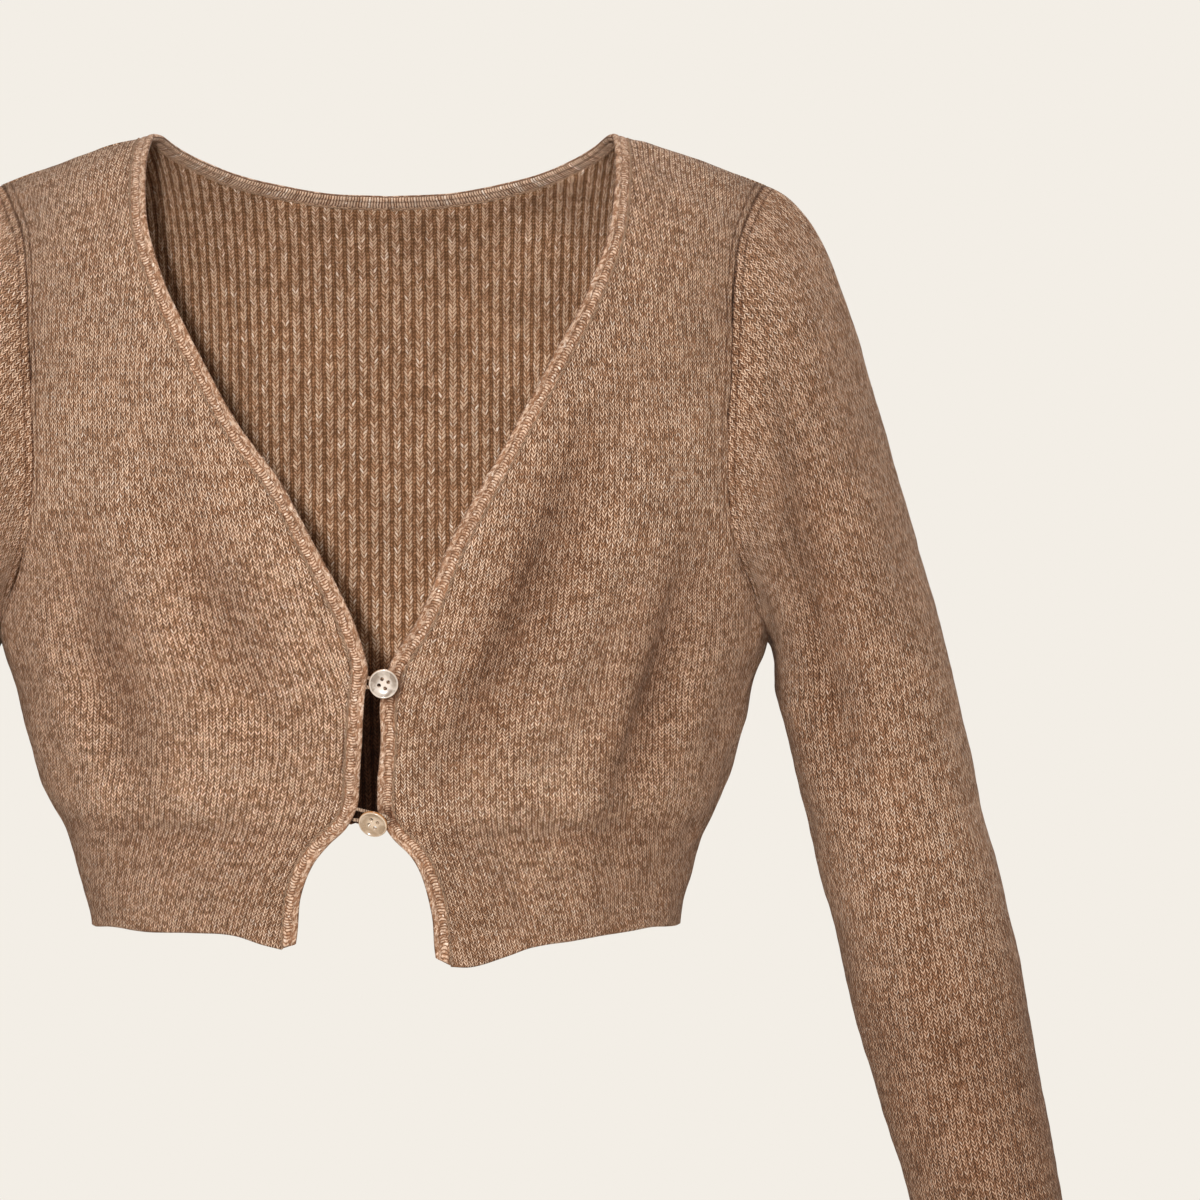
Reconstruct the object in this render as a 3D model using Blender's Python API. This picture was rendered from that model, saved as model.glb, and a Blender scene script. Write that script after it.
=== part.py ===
"""Cropped knit cardigan, filled out as if worn, with no wearer in it.

Metres, +Z up, the front faces -Y and the wearer's left is +X. The origin lies midway between
the two neck points of the shoulders, where a wearer holds the garment up.

The torso is one smooth surface of two parameters. `turn` goes round the body, from 0 at the
centre to a quarter circle at the side seam. `fall` goes down from the shoulder line: it is
positive on the front, negative on the back and 0 on the shoulder seam. The fronts, the back and
the edge band are cut from that surface, and the sleeves are lofted from its armholes.
"""

import math
from collections import namedtuple

import bmesh
import bpy
import numpy as np
from mathutils import Matrix, Vector

# Cloth
WALL = 0.0020  # thickness of the knit
SEAM_GAP = 0.0003  # left between pieces that are sewn or linked together
RIB_HEIGHT = 0.0006  # how far the back's ribs stand out
RIB_COUNT = 84
FLAT_RIB = 0.0010  # ribs are flat where a half rib is this narrow, and full where it is twice that
SQUARENESS = 2.3  # exponent of the torso's sections, 2 being an ellipse

# Shoulders
NECK_POINT = 0.1107  # from the centre to the neck point of the shoulder
SHOULDER_ROUNDING = 0.110  # height over which front and back close up to the shoulder line
SHOULDER_SLOPE = 0.27
SHOULDER_BEND = 0.9  # how much steeper the slope gets towards the tip, per metre
NECK_SOFTNESS = 0.004

# Edge band
BAND_WIDTH = 0.0075
BAND_HALF_THICKNESS = 0.0015

# Rows and columns of the panels
ROWS_BELOW_ARM = 14
ROWS_FRONT_ARMHOLE = 12
ROWS_BACK_ARMHOLE = 10
ROWS_BACK_BELOW_ARM = 6
FRONT_COLUMNS = 13
HEM_CROWDING = 1.3  # the fronts' rows are closer together towards the hem
ARMHOLE_CROWDING = 0.08  # rows are closer together towards an armhole's ends
COLUMN_LEAN = 7  # how late the back's columns start to lean towards the neck
SEAM_SPREAD = 4  # columns of the back over which its wall turns to meet the sleeve's
PLAIN_STEP = 4  # outer columns to one inner column on the back
NECK_COLUMNS = 56  # outer columns on each half of the back neck
BAND_STEP = 2  # outer columns to one station of the band

# Sleeve
SLEEVE_TILT = math.radians(13.5)
SLEEVE_TOP = (0.2333, 0.0, -0.2640)  # centre of the first whole ring, just below the underarm
CAP_RINGS = 10
CAP_CROWDING = 1.25  # rings are closer together towards the armhole
CAP_START = 0.75  # pull of the seam's direction on the sleeve cap, as a share of its length
CAP_END = 0.95  # pull of the arm's direction
CAP_FULLNESS = 0.15  # how far the cap swells to the front and back
CAP_SLOPE = 0.42  # how much the cap leaves the armhole downwards
CAP_DRAW = 0.0088  # how far the cap's outer side is drawn in towards the body, halfway down

# Buttons
BUTTON_RADIUS = 0.0070
BUTTON_SIDES = 24
STEM_RADIUS = 0.0010
STEM_ROOT = 0.0005  # how deep the stem is set into the button
STEM_FOOT = 0.0019  # the stem's lower end, above the band's middle
HOLE_RADIUS = 0.00085
HOLE_RING = 0.0023
HOLE_SIDES = 10
HOLE_TURN = math.radians(19)

# Loops
CORD_RADIUS = 0.00075
CORD_SIDES = 6
LOOP_STATIONS = 25
LOOP_SLACK = 0.0005

Section = namedtuple("Section", "level half_width front_depth back_depth")
BODY = (
    Section(-0.400, 0.1430, 0.0965, 0.0890),
    Section(-0.385, 0.1430, 0.0970, 0.0890),
    Section(-0.360, 0.1480, 0.0990, 0.0900),
    Section(-0.340, 0.1540, 0.1020, 0.0920),
    Section(-0.320, 0.1635, 0.1080, 0.0960),
    Section(-0.290, 0.1730, 0.1160, 0.1000),
    Section(-0.260, 0.1802, 0.1205, 0.1035),
    Section(-0.245, 0.1855, 0.1205, 0.1040),
    Section(-0.200, 0.1870, 0.1170, 0.1040),
    Section(-0.120, 0.1870, 0.1060, 0.1000),
    Section(0.000, 0.1870, 0.0970, 0.0970),
)

EdgePoint = namedtuple("EdgePoint", "x z")
# The wearer's left front edge, from the hem corner up to the neck point
LEFT_EDGE = (
    EdgePoint(0.0268, -0.3880),
    EdgePoint(0.0259, -0.3800),
    EdgePoint(0.0254, -0.3710),
    EdgePoint(0.0238, -0.3600),
    EdgePoint(0.0205, -0.3490),
    EdgePoint(0.0160, -0.3400),
    EdgePoint(0.0100, -0.3325),
    EdgePoint(0.0042, -0.3265),
    EdgePoint(0.0008, -0.3200),
    EdgePoint(0.0000, -0.3100),
    EdgePoint(0.0010, -0.2920),
    EdgePoint(0.0018, -0.2750),
    EdgePoint(0.0020, -0.2600),
    EdgePoint(0.0065, -0.2455),
    EdgePoint(0.0190, -0.2255),
    EdgePoint(0.0355, -0.1870),
    EdgePoint(0.0520, -0.1578),
    EdgePoint(0.0705, -0.1245),
    EdgePoint(0.0905, -0.0876),
    EdgePoint(0.1000, -0.0695),
    EdgePoint(0.1068, -0.0535),
    EdgePoint(0.1108, -0.0340),
    EdgePoint(0.1122, -0.0140),
)
# The wearer's right front edge, as seen in a mirror
RIGHT_EDGE = (
    EdgePoint(0.0394, -0.3815),
    EdgePoint(0.0383, -0.3746),
    EdgePoint(0.0378, -0.3658),
    EdgePoint(0.0365, -0.3570),
    EdgePoint(0.0335, -0.3485),
    EdgePoint(0.0290, -0.3405),
    EdgePoint(0.0232, -0.3333),
    EdgePoint(0.0172, -0.3270),
    EdgePoint(0.0112, -0.3215),
    EdgePoint(0.0090, -0.3113),
    EdgePoint(0.0080, -0.2960),
    EdgePoint(0.0068, -0.2800),
    EdgePoint(0.0056, -0.2630),
    EdgePoint(0.0040, -0.2490),
    EdgePoint(0.0120, -0.2221),
    EdgePoint(0.0257, -0.1958),
    EdgePoint(0.0433, -0.1634),
    EdgePoint(0.0661, -0.1324),
    EdgePoint(0.0905, -0.0876),
    EdgePoint(0.1000, -0.0695),
    EdgePoint(0.1068, -0.0535),
    EdgePoint(0.1108, -0.0340),
    EdgePoint(0.1122, -0.0140),
)
# The inner corner of the band's lower end, on the hem
LEFT_BAND_END = EdgePoint(0.0340, -0.3918)
RIGHT_BAND_END = EdgePoint(0.0462, -0.3838)
# The back of the neck, from the shoulder to the centre
NECK_EDGE = (
    EdgePoint(0.1000, -0.0078),
    EdgePoint(0.0802, -0.0180),
    EdgePoint(0.0554, -0.0252),
    EdgePoint(0.0306, -0.0295),
    EdgePoint(0.0000, -0.0312),
)
# Armholes, from the underarm up to the shoulder tip; the seam's ends are on the side and shoulder
UNDERARM_LEVEL = -0.2450
SHOULDER_TIP = 0.1850
FRONT_ARMHOLE = (
    EdgePoint(0.1822, -0.2326),
    EdgePoint(0.1765, -0.2122),
    EdgePoint(0.1692, -0.1918),
    EdgePoint(0.1655, -0.1630),
    EdgePoint(0.1658, -0.1345),
    EdgePoint(0.1672, -0.1062),
    EdgePoint(0.1683, -0.0873),
    EdgePoint(0.1695, -0.0640),
    EdgePoint(0.1713, -0.0500),
    EdgePoint(0.1760, -0.0382),
)
BACK_ARMHOLE = (
    EdgePoint(0.1860, -0.2340),
    EdgePoint(0.1836, -0.2180),
    EdgePoint(0.1795, -0.1980),
    EdgePoint(0.1738, -0.1700),
    EdgePoint(0.1702, -0.1350),
    EdgePoint(0.1705, -0.0900),
    EdgePoint(0.1720, -0.0570),
    EdgePoint(0.1765, -0.0395),
)

HemPoint = namedtuple("HemPoint", "x z")
LEFT_HEM = (
    HemPoint(0.0340, -0.3918),
    HemPoint(0.0430, -0.3922),
    HemPoint(0.0530, -0.3898),
    HemPoint(0.0620, -0.3868),
    HemPoint(0.0710, -0.3838),
    HemPoint(0.0910, -0.3817),
    HemPoint(0.1120, -0.3800),
    HemPoint(0.1330, -0.3798),
    HemPoint(0.1430, -0.3830),
)
RIGHT_HEM = (
    HemPoint(0.0462, -0.3838),
    HemPoint(0.0550, -0.3818),
    HemPoint(0.0680, -0.3780),
    HemPoint(0.0900, -0.3775),
    HemPoint(0.1120, -0.3790),
    HemPoint(0.1330, -0.3798),
    HemPoint(0.1430, -0.3830),
)
BACK_HEM = (
    HemPoint(0.0000, -0.3460),
    HemPoint(0.0350, -0.3475),
    HemPoint(0.0750, -0.3560),
    HemPoint(0.1150, -0.3710),
    HemPoint(0.1430, -0.3830),
)

# Folds, seen from the front: three points of a curve, how far it stands out, its half width
Fold = namedtuple("Fold", "x0 z0 x1 z1 x2 z2 height reach")
LEFT_FOLDS = (
    Fold(0.097, -0.138, 0.073, -0.215, 0.030, -0.292, -0.0052, 0.013),
    Fold(0.144, -0.203, 0.132, -0.262, 0.108, -0.323, -0.0054, 0.013),
    Fold(0.124, -0.147, 0.105, -0.217, 0.067, -0.292, 0.0030, 0.015),
    Fold(0.069, -0.154, 0.043, -0.200, 0.022, -0.245, 0.0018, 0.012),
    Fold(0.160, -0.225, 0.150, -0.280, 0.130, -0.314, 0.0030, 0.012),
    Fold(0.134, -0.060, 0.128, -0.110, 0.118, -0.150, -0.0012, 0.016),
    Fold(0.030, -0.311, 0.085, -0.312, 0.150, -0.314, 0.0024, 0.010),
    Fold(0.030, -0.328, 0.085, -0.330, 0.148, -0.332, -0.0016, 0.008),
)
RIGHT_FOLDS = (
    Fold(0.100, -0.150, 0.079, -0.220, 0.042, -0.290, -0.0036, 0.014),
    Fold(0.146, -0.195, 0.130, -0.255, 0.112, -0.318, -0.0046, 0.014),
    Fold(0.126, -0.160, 0.108, -0.222, 0.074, -0.288, 0.0026, 0.015),
    Fold(0.161, -0.230, 0.149, -0.275, 0.132, -0.312, 0.0028, 0.012),
    Fold(0.136, -0.070, 0.127, -0.115, 0.120, -0.155, -0.0012, 0.016),
    Fold(0.036, -0.310, 0.090, -0.311, 0.150, -0.314, 0.0022, 0.010),
    Fold(0.036, -0.327, 0.090, -0.329, 0.148, -0.332, -0.0016, 0.008),
)
BACK_FOLDS = (
    Fold(0.145, -0.170, 0.134, -0.250, 0.106, -0.330, -0.0028, 0.020),
    Fold(-0.142, -0.180, -0.130, -0.250, -0.102, -0.330, -0.0032, 0.019),
    Fold(0.055, -0.190, 0.050, -0.255, 0.060, -0.320, -0.0018, 0.020),
    Fold(-0.036, -0.210, -0.044, -0.265, -0.040, -0.330, -0.0020, 0.020),
)
SLEEVE_FRONT_FOLDS = (
    Fold(0.190, -0.115, 0.206, -0.215, 0.232, -0.335, -0.0046, 0.012),
    Fold(0.185, -0.170, 0.195, -0.250, 0.214, -0.330, 0.0022, 0.009),
    Fold(0.262, -0.370, 0.270, -0.420, 0.286, -0.470, -0.0018, 0.012),
)
SLEEVE_BACK_FOLDS = (
    Fold(0.198, -0.140, 0.211, -0.225, 0.236, -0.320, -0.0040, 0.013),
    Fold(0.246, -0.330, 0.262, -0.385, 0.270, -0.440, -0.0022, 0.013),
)

# Rings of the sleeve, by distance down the arm from its first whole ring
Ring = namedtuple("Ring", "distance width depth forward")
ARM = (
    Ring(0.000, 0.0840, 0.1030, 0.0000),
    Ring(0.080, 0.0830, 0.0980, 0.0000),
    Ring(0.160, 0.0815, 0.0910, 0.0020),
    Ring(0.240, 0.0740, 0.0800, 0.0060),
    Ring(0.310, 0.0650, 0.0690, 0.0120),
    Ring(0.352, 0.0600, 0.0640, 0.0170),
)
ARM_RINGS = 12

# A button's outline from the middle of its back round to the middle of its face
Turned = namedtuple("Turned", "radius height")
BUTTON_OUTLINE = (
    Turned(0.0056, 0.0000),
    Turned(0.0067, 0.0006),
    Turned(BUTTON_RADIUS, 0.0014),
    Turned(0.0068, 0.0023),
    Turned(0.0062, 0.0026),
    Turned(0.0055, 0.0024),
    Turned(0.0046, 0.0016),
)
BUTTON_FACE_HEIGHT = 0.0014

# A button's centre, its lift from the band's middle, the tilt of its face in degrees, how far its
# stem is off its centre, and where its loop leaves the other front's edge, above and below
Fastening = namedtuple(
    "Fastening", "name x z lift yaw pitch stem loop_x high_end low_x low_end"
)
FASTENINGS = (
    Fastening(
        "upper", 0.0036, -0.2542, 0.0038, 0.0, 2.0, 0.0, -0.0041, 0.0022, -0.0046, -0.0022
    ),
    Fastening(
        "lower", -0.0016, -0.3200, 0.0042, -14.0, 11.0, 0.0042, -0.0095, 0.0048, -0.0107, -0.0006
    ),
)

BROWN_KNIT = (0.342, 0.191, 0.117, 1.0)
BROWN_RIB = (0.318, 0.173, 0.099, 1.0)
PEARL_CREAM = (0.66, 0.60, 0.51, 1.0)
KNIT_ROUGHNESS = 0.95
BUTTON_ROUGHNESS = 0.28


def along(table, column, levels):
    """A table's column at any level: a cubic whose slopes are those of the rows on either side."""
    rows = sorted((row[0], getattr(row, column)) for row in table)
    knots, values = np.array(rows).T
    slopes = np.gradient(values, knots)
    held = np.clip(levels, knots[0], knots[-1])
    left = np.clip(np.searchsorted(knots, held) - 1, 0, len(knots) - 2)
    span = knots[left + 1] - knots[left]
    part = (held - knots[left]) / span
    rest = 1 - part
    start = (1 + 2 * part) * rest**2 * values[left] + part * rest**2 * span * slopes[left]
    end = part**2 * (3 - 2 * part) * values[left + 1]
    return start + end - part**2 * rest * span * slopes[left + 1]


def unit(vectors):
    """Vectors scaled to length 1."""
    return vectors / np.linalg.norm(vectors, axis=-1, keepdims=True)


def shoulder_drop(x):
    """Height of the shoulder line, from 0 at the neck point down to the tip."""
    beyond = np.abs(x) - NECK_POINT
    beyond = (beyond + np.sqrt(beyond**2 + NECK_SOFTNESS**2)) / 2
    return -SHOULDER_SLOPE * beyond - SHOULDER_BEND * beyond**2


def shoulder_share(level):
    """How much of the shoulder's slope is left at a level: all at the top, none at the chest."""
    part = np.clip(1 + level / 0.16, 0, 1)
    return part**2 * (3 - 2 * part)


def torso(turn, fall):
    """Points of the torso's middle surface: a rounded oblong, closed up to the shoulder line."""
    steep = np.abs(fall)
    quarter = math.pi / 2
    level = -SHOULDER_ROUNDING * np.where(steep < quarter, 1 - np.cos(steep), 1 + steep - quarter)
    front = along(BODY, "front_depth", level)
    back = along(BODY, "back_depth", level)
    depth = np.where(fall > 0, front, back) * np.sin(np.minimum(steep, quarter)) * np.sign(fall)
    power = np.abs(np.sin(turn)) ** SQUARENESS + np.abs(np.cos(turn)) ** SQUARENESS
    stretch = power ** (-1 / SQUARENESS)
    x = along(BODY, "half_width", level) * stretch * np.sin(turn)
    y = -depth * stretch * np.cos(turn)
    z = level + shoulder_drop(x) * shoulder_share(level)
    return np.stack([x, y, z], axis=-1)


def located(x, z, side):
    """The torso's parameters at a place seen from the front (side 1) or the back (side -1)."""
    x, z = np.asarray(x, float), np.asarray(z, float)
    level = np.array(z)
    for _ in range(40):
        level = np.minimum(z - shoulder_drop(x) * shoulder_share(level), 0)
    share = -level / SHOULDER_ROUNDING
    quarter = math.pi / 2
    fall = np.where(share < 1, np.arccos(np.clip(1 - share, 0, 1)), share - 1 + quarter)
    across = np.clip(x / along(BODY, "half_width", level), -1, 1)
    rest = (1 - np.abs(across) ** SQUARENESS) ** (1 / SQUARENESS)
    return np.stack([np.arctan2(across, rest), side * fall], axis=-1)


def torso_frame(place):
    """The surface's two tangents and its outward normal at places on the torso."""
    step = 1e-4
    turn, fall = place[..., 0], place[..., 1]
    around = (torso(turn + step, fall) - torso(turn - step, fall)) / (2 * step)
    down = (torso(turn, fall + step) - torso(turn, fall - step)) / (2 * step)
    return around, down, unit(np.cross(down, around))


def spaced(places, shares):
    """Places at shares of a path's length, on a smooth curve through its own places."""
    places = np.asarray(places)
    chords = np.linalg.norm(np.diff(torso(*places.T), axis=0), axis=1)
    knots = np.concatenate([[0], np.cumsum(chords)])
    Row = namedtuple("Row", "at turn fall")
    rows = [Row(at, *place) for at, place in zip(knots, places)]
    fine = np.linspace(0, knots[-1], 600)
    dense = np.stack([along(rows, "turn", fine), along(rows, "fall", fine)], axis=-1)
    steps = np.linalg.norm(np.diff(torso(*dense.T), axis=0), axis=1)
    length = np.concatenate([[0], np.cumsum(steps)])
    wanted = np.asarray(shares) * length[-1]
    return np.stack([np.interp(wanted, length, dense[:, k]) for k in (0, 1)], axis=-1)


def relief(points, folds):
    """How far folds move points: soft troughs and ridges along curves seen from the front."""
    along_fold = np.linspace(0, 1, 33)
    moved = np.zeros(points.shape[:-1])
    for fold in folds:
        first = np.array([fold.x0, fold.z0])
        middle = np.array([fold.x1, fold.z1])
        last = np.array([fold.x2, fold.z2])
        share = along_fold[:, None]
        curve = first * (1 - share) ** 2 + 2 * middle * share * (1 - share) + last * share**2
        away = points[..., None, [0, 2]] - curve
        nearness = np.exp(-np.sum(away**2, axis=-1) / fold.reach**2)
        fade = np.sin(np.pi * np.clip(0.08 + 0.84 * along_fold, 0, 1))
        moved += fold.height * np.max(nearness * fade, axis=-1)
    return moved


def edge_path(edge):
    """Places on a front's outer edge, from its hem corner to the neck point of the shoulder."""
    places = [located(point.x, point.z, 1) for point in edge]
    neck_turn = located(NECK_POINT, shoulder_drop(NECK_POINT), 1)[0]
    return np.array([*places, (neck_turn, 0.0)])


def neck_path():
    """Places on the back neck's outer edge, from the shoulder's neck point to the centre."""
    start = edge_path(LEFT_EDGE)[-1]
    return np.array([start, *(located(point.x, point.z, -1) for point in NECK_EDGE)])


def inset(places, distance):
    """Places moved across the surface, to the left of a path's direction."""
    around, down, normal = torso_frame(places)
    heading = unit(np.gradient(torso(*places.T), axis=0))
    aside = np.cross(heading, normal)
    turn = np.sum(aside * around, axis=-1) / np.sum(around**2, axis=-1)
    skew = np.sum(around * down, axis=-1) / np.sum(around**2, axis=-1)
    upright = down - skew[:, None] * around
    fall = np.sum(aside * upright, axis=-1) / np.sum(upright**2, axis=-1)
    turn = turn - skew * fall
    return places + distance * np.stack([turn, fall], axis=-1)


def armhole_path(armhole, side):
    """Places on an armhole, from the underarm to the shoulder tip."""
    underarm = located(1.0, UNDERARM_LEVEL, side)
    tip = (located(SHOULDER_TIP, shoulder_drop(SHOULDER_TIP), side)[0], 0.0)
    return np.array([underarm, *(located(point.x, point.z, side) for point in armhole), tip])


def armhole_shares(rows):
    """Shares of an armhole's length at its rows."""
    even = np.linspace(0, 1, rows + 1)
    return even - ARMHOLE_CROWDING * np.sin(2 * math.pi * even)


def side_path(armhole, side, below, above, crowding=1.0):
    """Places up the side seam and round the armhole, and each row's share of the way up."""
    crowded = np.linspace(0, 1, below + 1) ** crowding
    hem_fall = located(1.0, LEFT_HEM[-1].z, side)[1]
    underarm = armhole_path(armhole, side)[0]
    lower_fall = hem_fall + crowded * (underarm[1] - hem_fall)
    lower = np.stack([np.full(below + 1, math.pi / 2), lower_fall], axis=-1)
    upper = spaced(armhole_path(armhole, side), armhole_shares(above))
    places = np.concatenate([lower, upper[1:]])
    steps = np.linalg.norm(np.diff(torso(*places.T), axis=0), axis=1)
    length = np.concatenate([[0], np.cumsum(steps)])
    return places, length / length[-1]


def arm_ring(distance, angles):
    """Points round the arm at a distance below its first ring; angle 0 faces the body."""
    down = np.array([math.sin(SLEEVE_TILT), 0, -math.cos(SLEEVE_TILT)])
    away = np.array([math.cos(SLEEVE_TILT), 0, math.sin(SLEEVE_TILT)])
    forward = np.array([0, -1, 0])
    centre = np.array(SLEEVE_TOP) + down * distance + forward * along(ARM, "forward", distance)
    width, depth = along(ARM, "width", distance), along(ARM, "depth", distance)
    across = -away * (width / 2) * np.cos(angles)[:, None]
    return centre + across + forward * (depth / 2) * np.sin(angles)[:, None]


Seam = namedtuple("Seam", "points through across start angles")


def armhole_seam(places, side):
    """Half an armhole, underarm to shoulder tip, where a panel and the sleeve share a seam.

    It holds the seam's points, the directions through the cloth and across the seam towards the
    sleeve, the direction in which the sleeve leaves it, and the angles that its points have on
    the arm's first ring.
    """
    points = torso(*places.T)
    steps = np.linalg.norm(np.diff(points, axis=0), axis=1)
    angles = side * math.pi * np.concatenate([[0], np.cumsum(steps)]) / steps.sum()
    heading = unit(np.gradient(points, axis=0))
    heading[0], heading[-1] = (0, -side, 0), (0, side, 0)
    inward = np.cross(torso_frame(places)[2], heading) * side
    fullness = np.stack([np.ones(len(places)), -CAP_FULLNESS * np.sin(angles), 0 * angles], -1)
    start = unit(fullness + CAP_SLOPE * unit(arm_ring(0.0, angles) - points))
    square = start - np.sum(start * heading, axis=-1)[:, None] * heading
    across = unit(unit(square) - unit(inward))
    return Seam(points, np.cross(across, heading) * side, across, start, angles)


def wall_mesh(name, outer, inner, joined=False, climbing=True):
    """A closed wall between two grids of points, with the inner one's columns at equal steps.

    Its sides are closed by rims, or its columns are joined into a tube. The triangles of a side
    rim run from an outer point up to the next inner one, or down to the last, as on the sleeve
    that meets the rim.
    """
    rows, columns = outer.shape[:2]
    inner_columns = inner.shape[1]
    step = columns // inner_columns if joined else (columns - 1) // (inner_columns - 1)
    offset = rows * columns
    points = np.concatenate([outer.reshape(-1, 3), inner.reshape(-1, 3)])
    faces = []

    def out(row, column):
        return row * columns + column % columns

    def inside(row, column):
        return offset + row * inner_columns + column % inner_columns

    spans = columns if joined else columns - 1
    inner_spans = inner_columns if joined else inner_columns - 1
    for row in range(rows - 1):
        for k in range(spans):
            faces.append((out(row, k), out(row, k + 1), out(row + 1, k + 1), out(row + 1, k)))
        for k in range(inner_spans):
            faces.append((inside(row, k), inside(row + 1, k), inside(row + 1, k + 1), inside(row, k + 1)))
    for row, flipped in ((0, True), (rows - 1, False)):
        for k in range(inner_spans):
            half = step // 2
            first, last = inside(row, k), inside(row, k + 1)
            rim = [(out(row, k * step + j), out(row, k * step + j + 1), first) for j in range(half)]
            rim.append((out(row, k * step + half), last, first))
            rim += [(out(row, k * step + j), out(row, k * step + j + 1), last) for j in range(half, step)]
            faces += [face[::-1] for face in rim] if flipped else rim
    if not joined:
        for row in range(rows - 1):
            for k, inner_k in ((0, 0), (columns - 1, inner_columns - 1)):
                low, high = out(row, k), out(row + 1, k)
                low_in, high_in = inside(row, inner_k), inside(row + 1, inner_k)
                if climbing:
                    rim = [(low, high, high_in), (low, high_in, low_in)]
                else:
                    rim = [(low, high, low_in), (high, high_in, low_in)]
                faces += rim if k == 0 else [face[::-1] for face in rim]
    return closed_mesh(name, points, faces)


def closed_mesh(name, points, faces):
    """A mesh from points and faces, with its faces turned outwards."""
    mesh = bpy.data.meshes.new(name)
    mesh.from_pydata([tuple(point) for point in points], [], faces)
    shape = bmesh.new()
    shape.from_mesh(mesh)
    bmesh.ops.recalc_face_normals(shape, faces=shape.faces)
    shape.to_mesh(mesh)
    shape.free()
    return mesh


def swept_mesh(name, points, sideways, upward, outline):
    """A closed rod: an outline of (sideways, upward) sizes carried along points."""
    rings = [
        points + sideways * across + upward * height
        for across, height in outline
    ]
    grid = np.stack(rings, axis=1)
    stations, sides = grid.shape[:2]
    faces = [tuple(range(sides)), tuple(range((stations - 1) * sides, stations * sides))[::-1]]
    for station in range(stations - 1):
        first, after = station * sides, (station + 1) * sides
        for k in range(sides):
            turn = (k + 1) % sides
            faces.append((first + k, first + turn, after + turn, after + k))
    return closed_mesh(name, grid.reshape(-1, 3), faces)


def knit_material(name, colour):
    """A rough woollen finish."""
    material = bpy.data.materials.new(name)
    material.use_nodes = True
    shader = material.node_tree.nodes["Principled BSDF"]
    shader.inputs["Base Color"].default_value = colour
    shader.inputs["Roughness"].default_value = KNIT_ROUGHNESS
    shader.inputs["Metallic"].default_value = 0.0
    return material


def placed(name, mesh, material, smooth_below=math.radians(50)):
    """An object for one piece, shaded smooth but for its sharp rims."""
    piece = bpy.data.objects.new(name, mesh)
    bpy.context.scene.collection.objects.link(piece)
    mesh.materials.append(material)
    mesh.shade_smooth()
    mesh.set_sharp_from_angle(angle=smooth_below)
    return piece


def grid_normals(points, joined=False):
    """Outward normals of a grid whose rows go up and whose columns go towards the side."""
    if joined:
        padded = np.concatenate([points[:, -1:], points, points[:, :1]], axis=1)
        across = np.gradient(padded, axis=1)[:, 1:-1]
    else:
        across = np.gradient(points, axis=1)
    return unit(np.cross(across, np.gradient(points, axis=0)))


def folded(points, plain, moved):
    """A grid moved by its folds along its plain normals, and its normals then."""
    after = points + plain * moved[..., None]
    facing = np.sign(np.sum(grid_normals(points) * plain, axis=-1, keepdims=True))
    return after, unit(plain + facing * (grid_normals(after) - grid_normals(points)))


def mirrored(points, side):
    """Points on the wearer's left (side 1) or right (side -1)."""
    return points * np.array([side, 1, 1])


def front_edges(edge, band_end):
    """Places on a front's band, on its outer edge and on the seam that joins it to the front."""
    _, shares = side_path(FRONT_ARMHOLE, 1, ROWS_BELOW_ARM, ROWS_FRONT_ARMHOLE, HEM_CROWDING)
    outer_edge = spaced(edge_path(edge), shares)
    inner_edge = inset(outer_edge, BAND_WIDTH)
    inner_edge[0] = located(band_end.x, band_end.z, 1)
    inner_edge[-1, 1] = 0.0
    return outer_edge, inner_edge


def neck_edges(count):
    """Places on the band's outer edge and seam, from the shoulder to the back's centre."""
    outer_edge = spaced(neck_path(), np.linspace(0, 1, count))
    inner_edge = inset(spaced(neck_path(), np.linspace(0, 1, 80)), BAND_WIDTH)
    inner_edge[0, 1] = 0.0
    inner_edge[-1, 0] = 0.0
    return outer_edge, spaced(inner_edge, np.linspace(0, 1, count))


def front_places(edge, band_end, hem):
    """A front's places, in rows from the hem to the shoulder and columns from edge to side."""
    sides, shares = side_path(
        FRONT_ARMHOLE, 1, ROWS_BELOW_ARM, ROWS_FRONT_ARMHOLE, HEM_CROWDING
    )
    _, inner_edge = front_edges(edge, band_end)
    part = np.linspace(0, 1, FRONT_COLUMNS)[None, :, None]
    places = inner_edge[:, None] * (1 - part) + sides[:, None] * part
    hem_x = torso(places[0, :, 0], places[0, :, 1])[:, 0]
    hem_fall = located(hem_x, along(hem, "z", hem_x), 1)[:, 1]
    correction = hem_fall - places[0, :, 1]
    correction[0] = correction[-1] = 0.0
    places[..., 1] += correction[None, :] * (1 - shares[:, None]) ** 6
    return places


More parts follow.
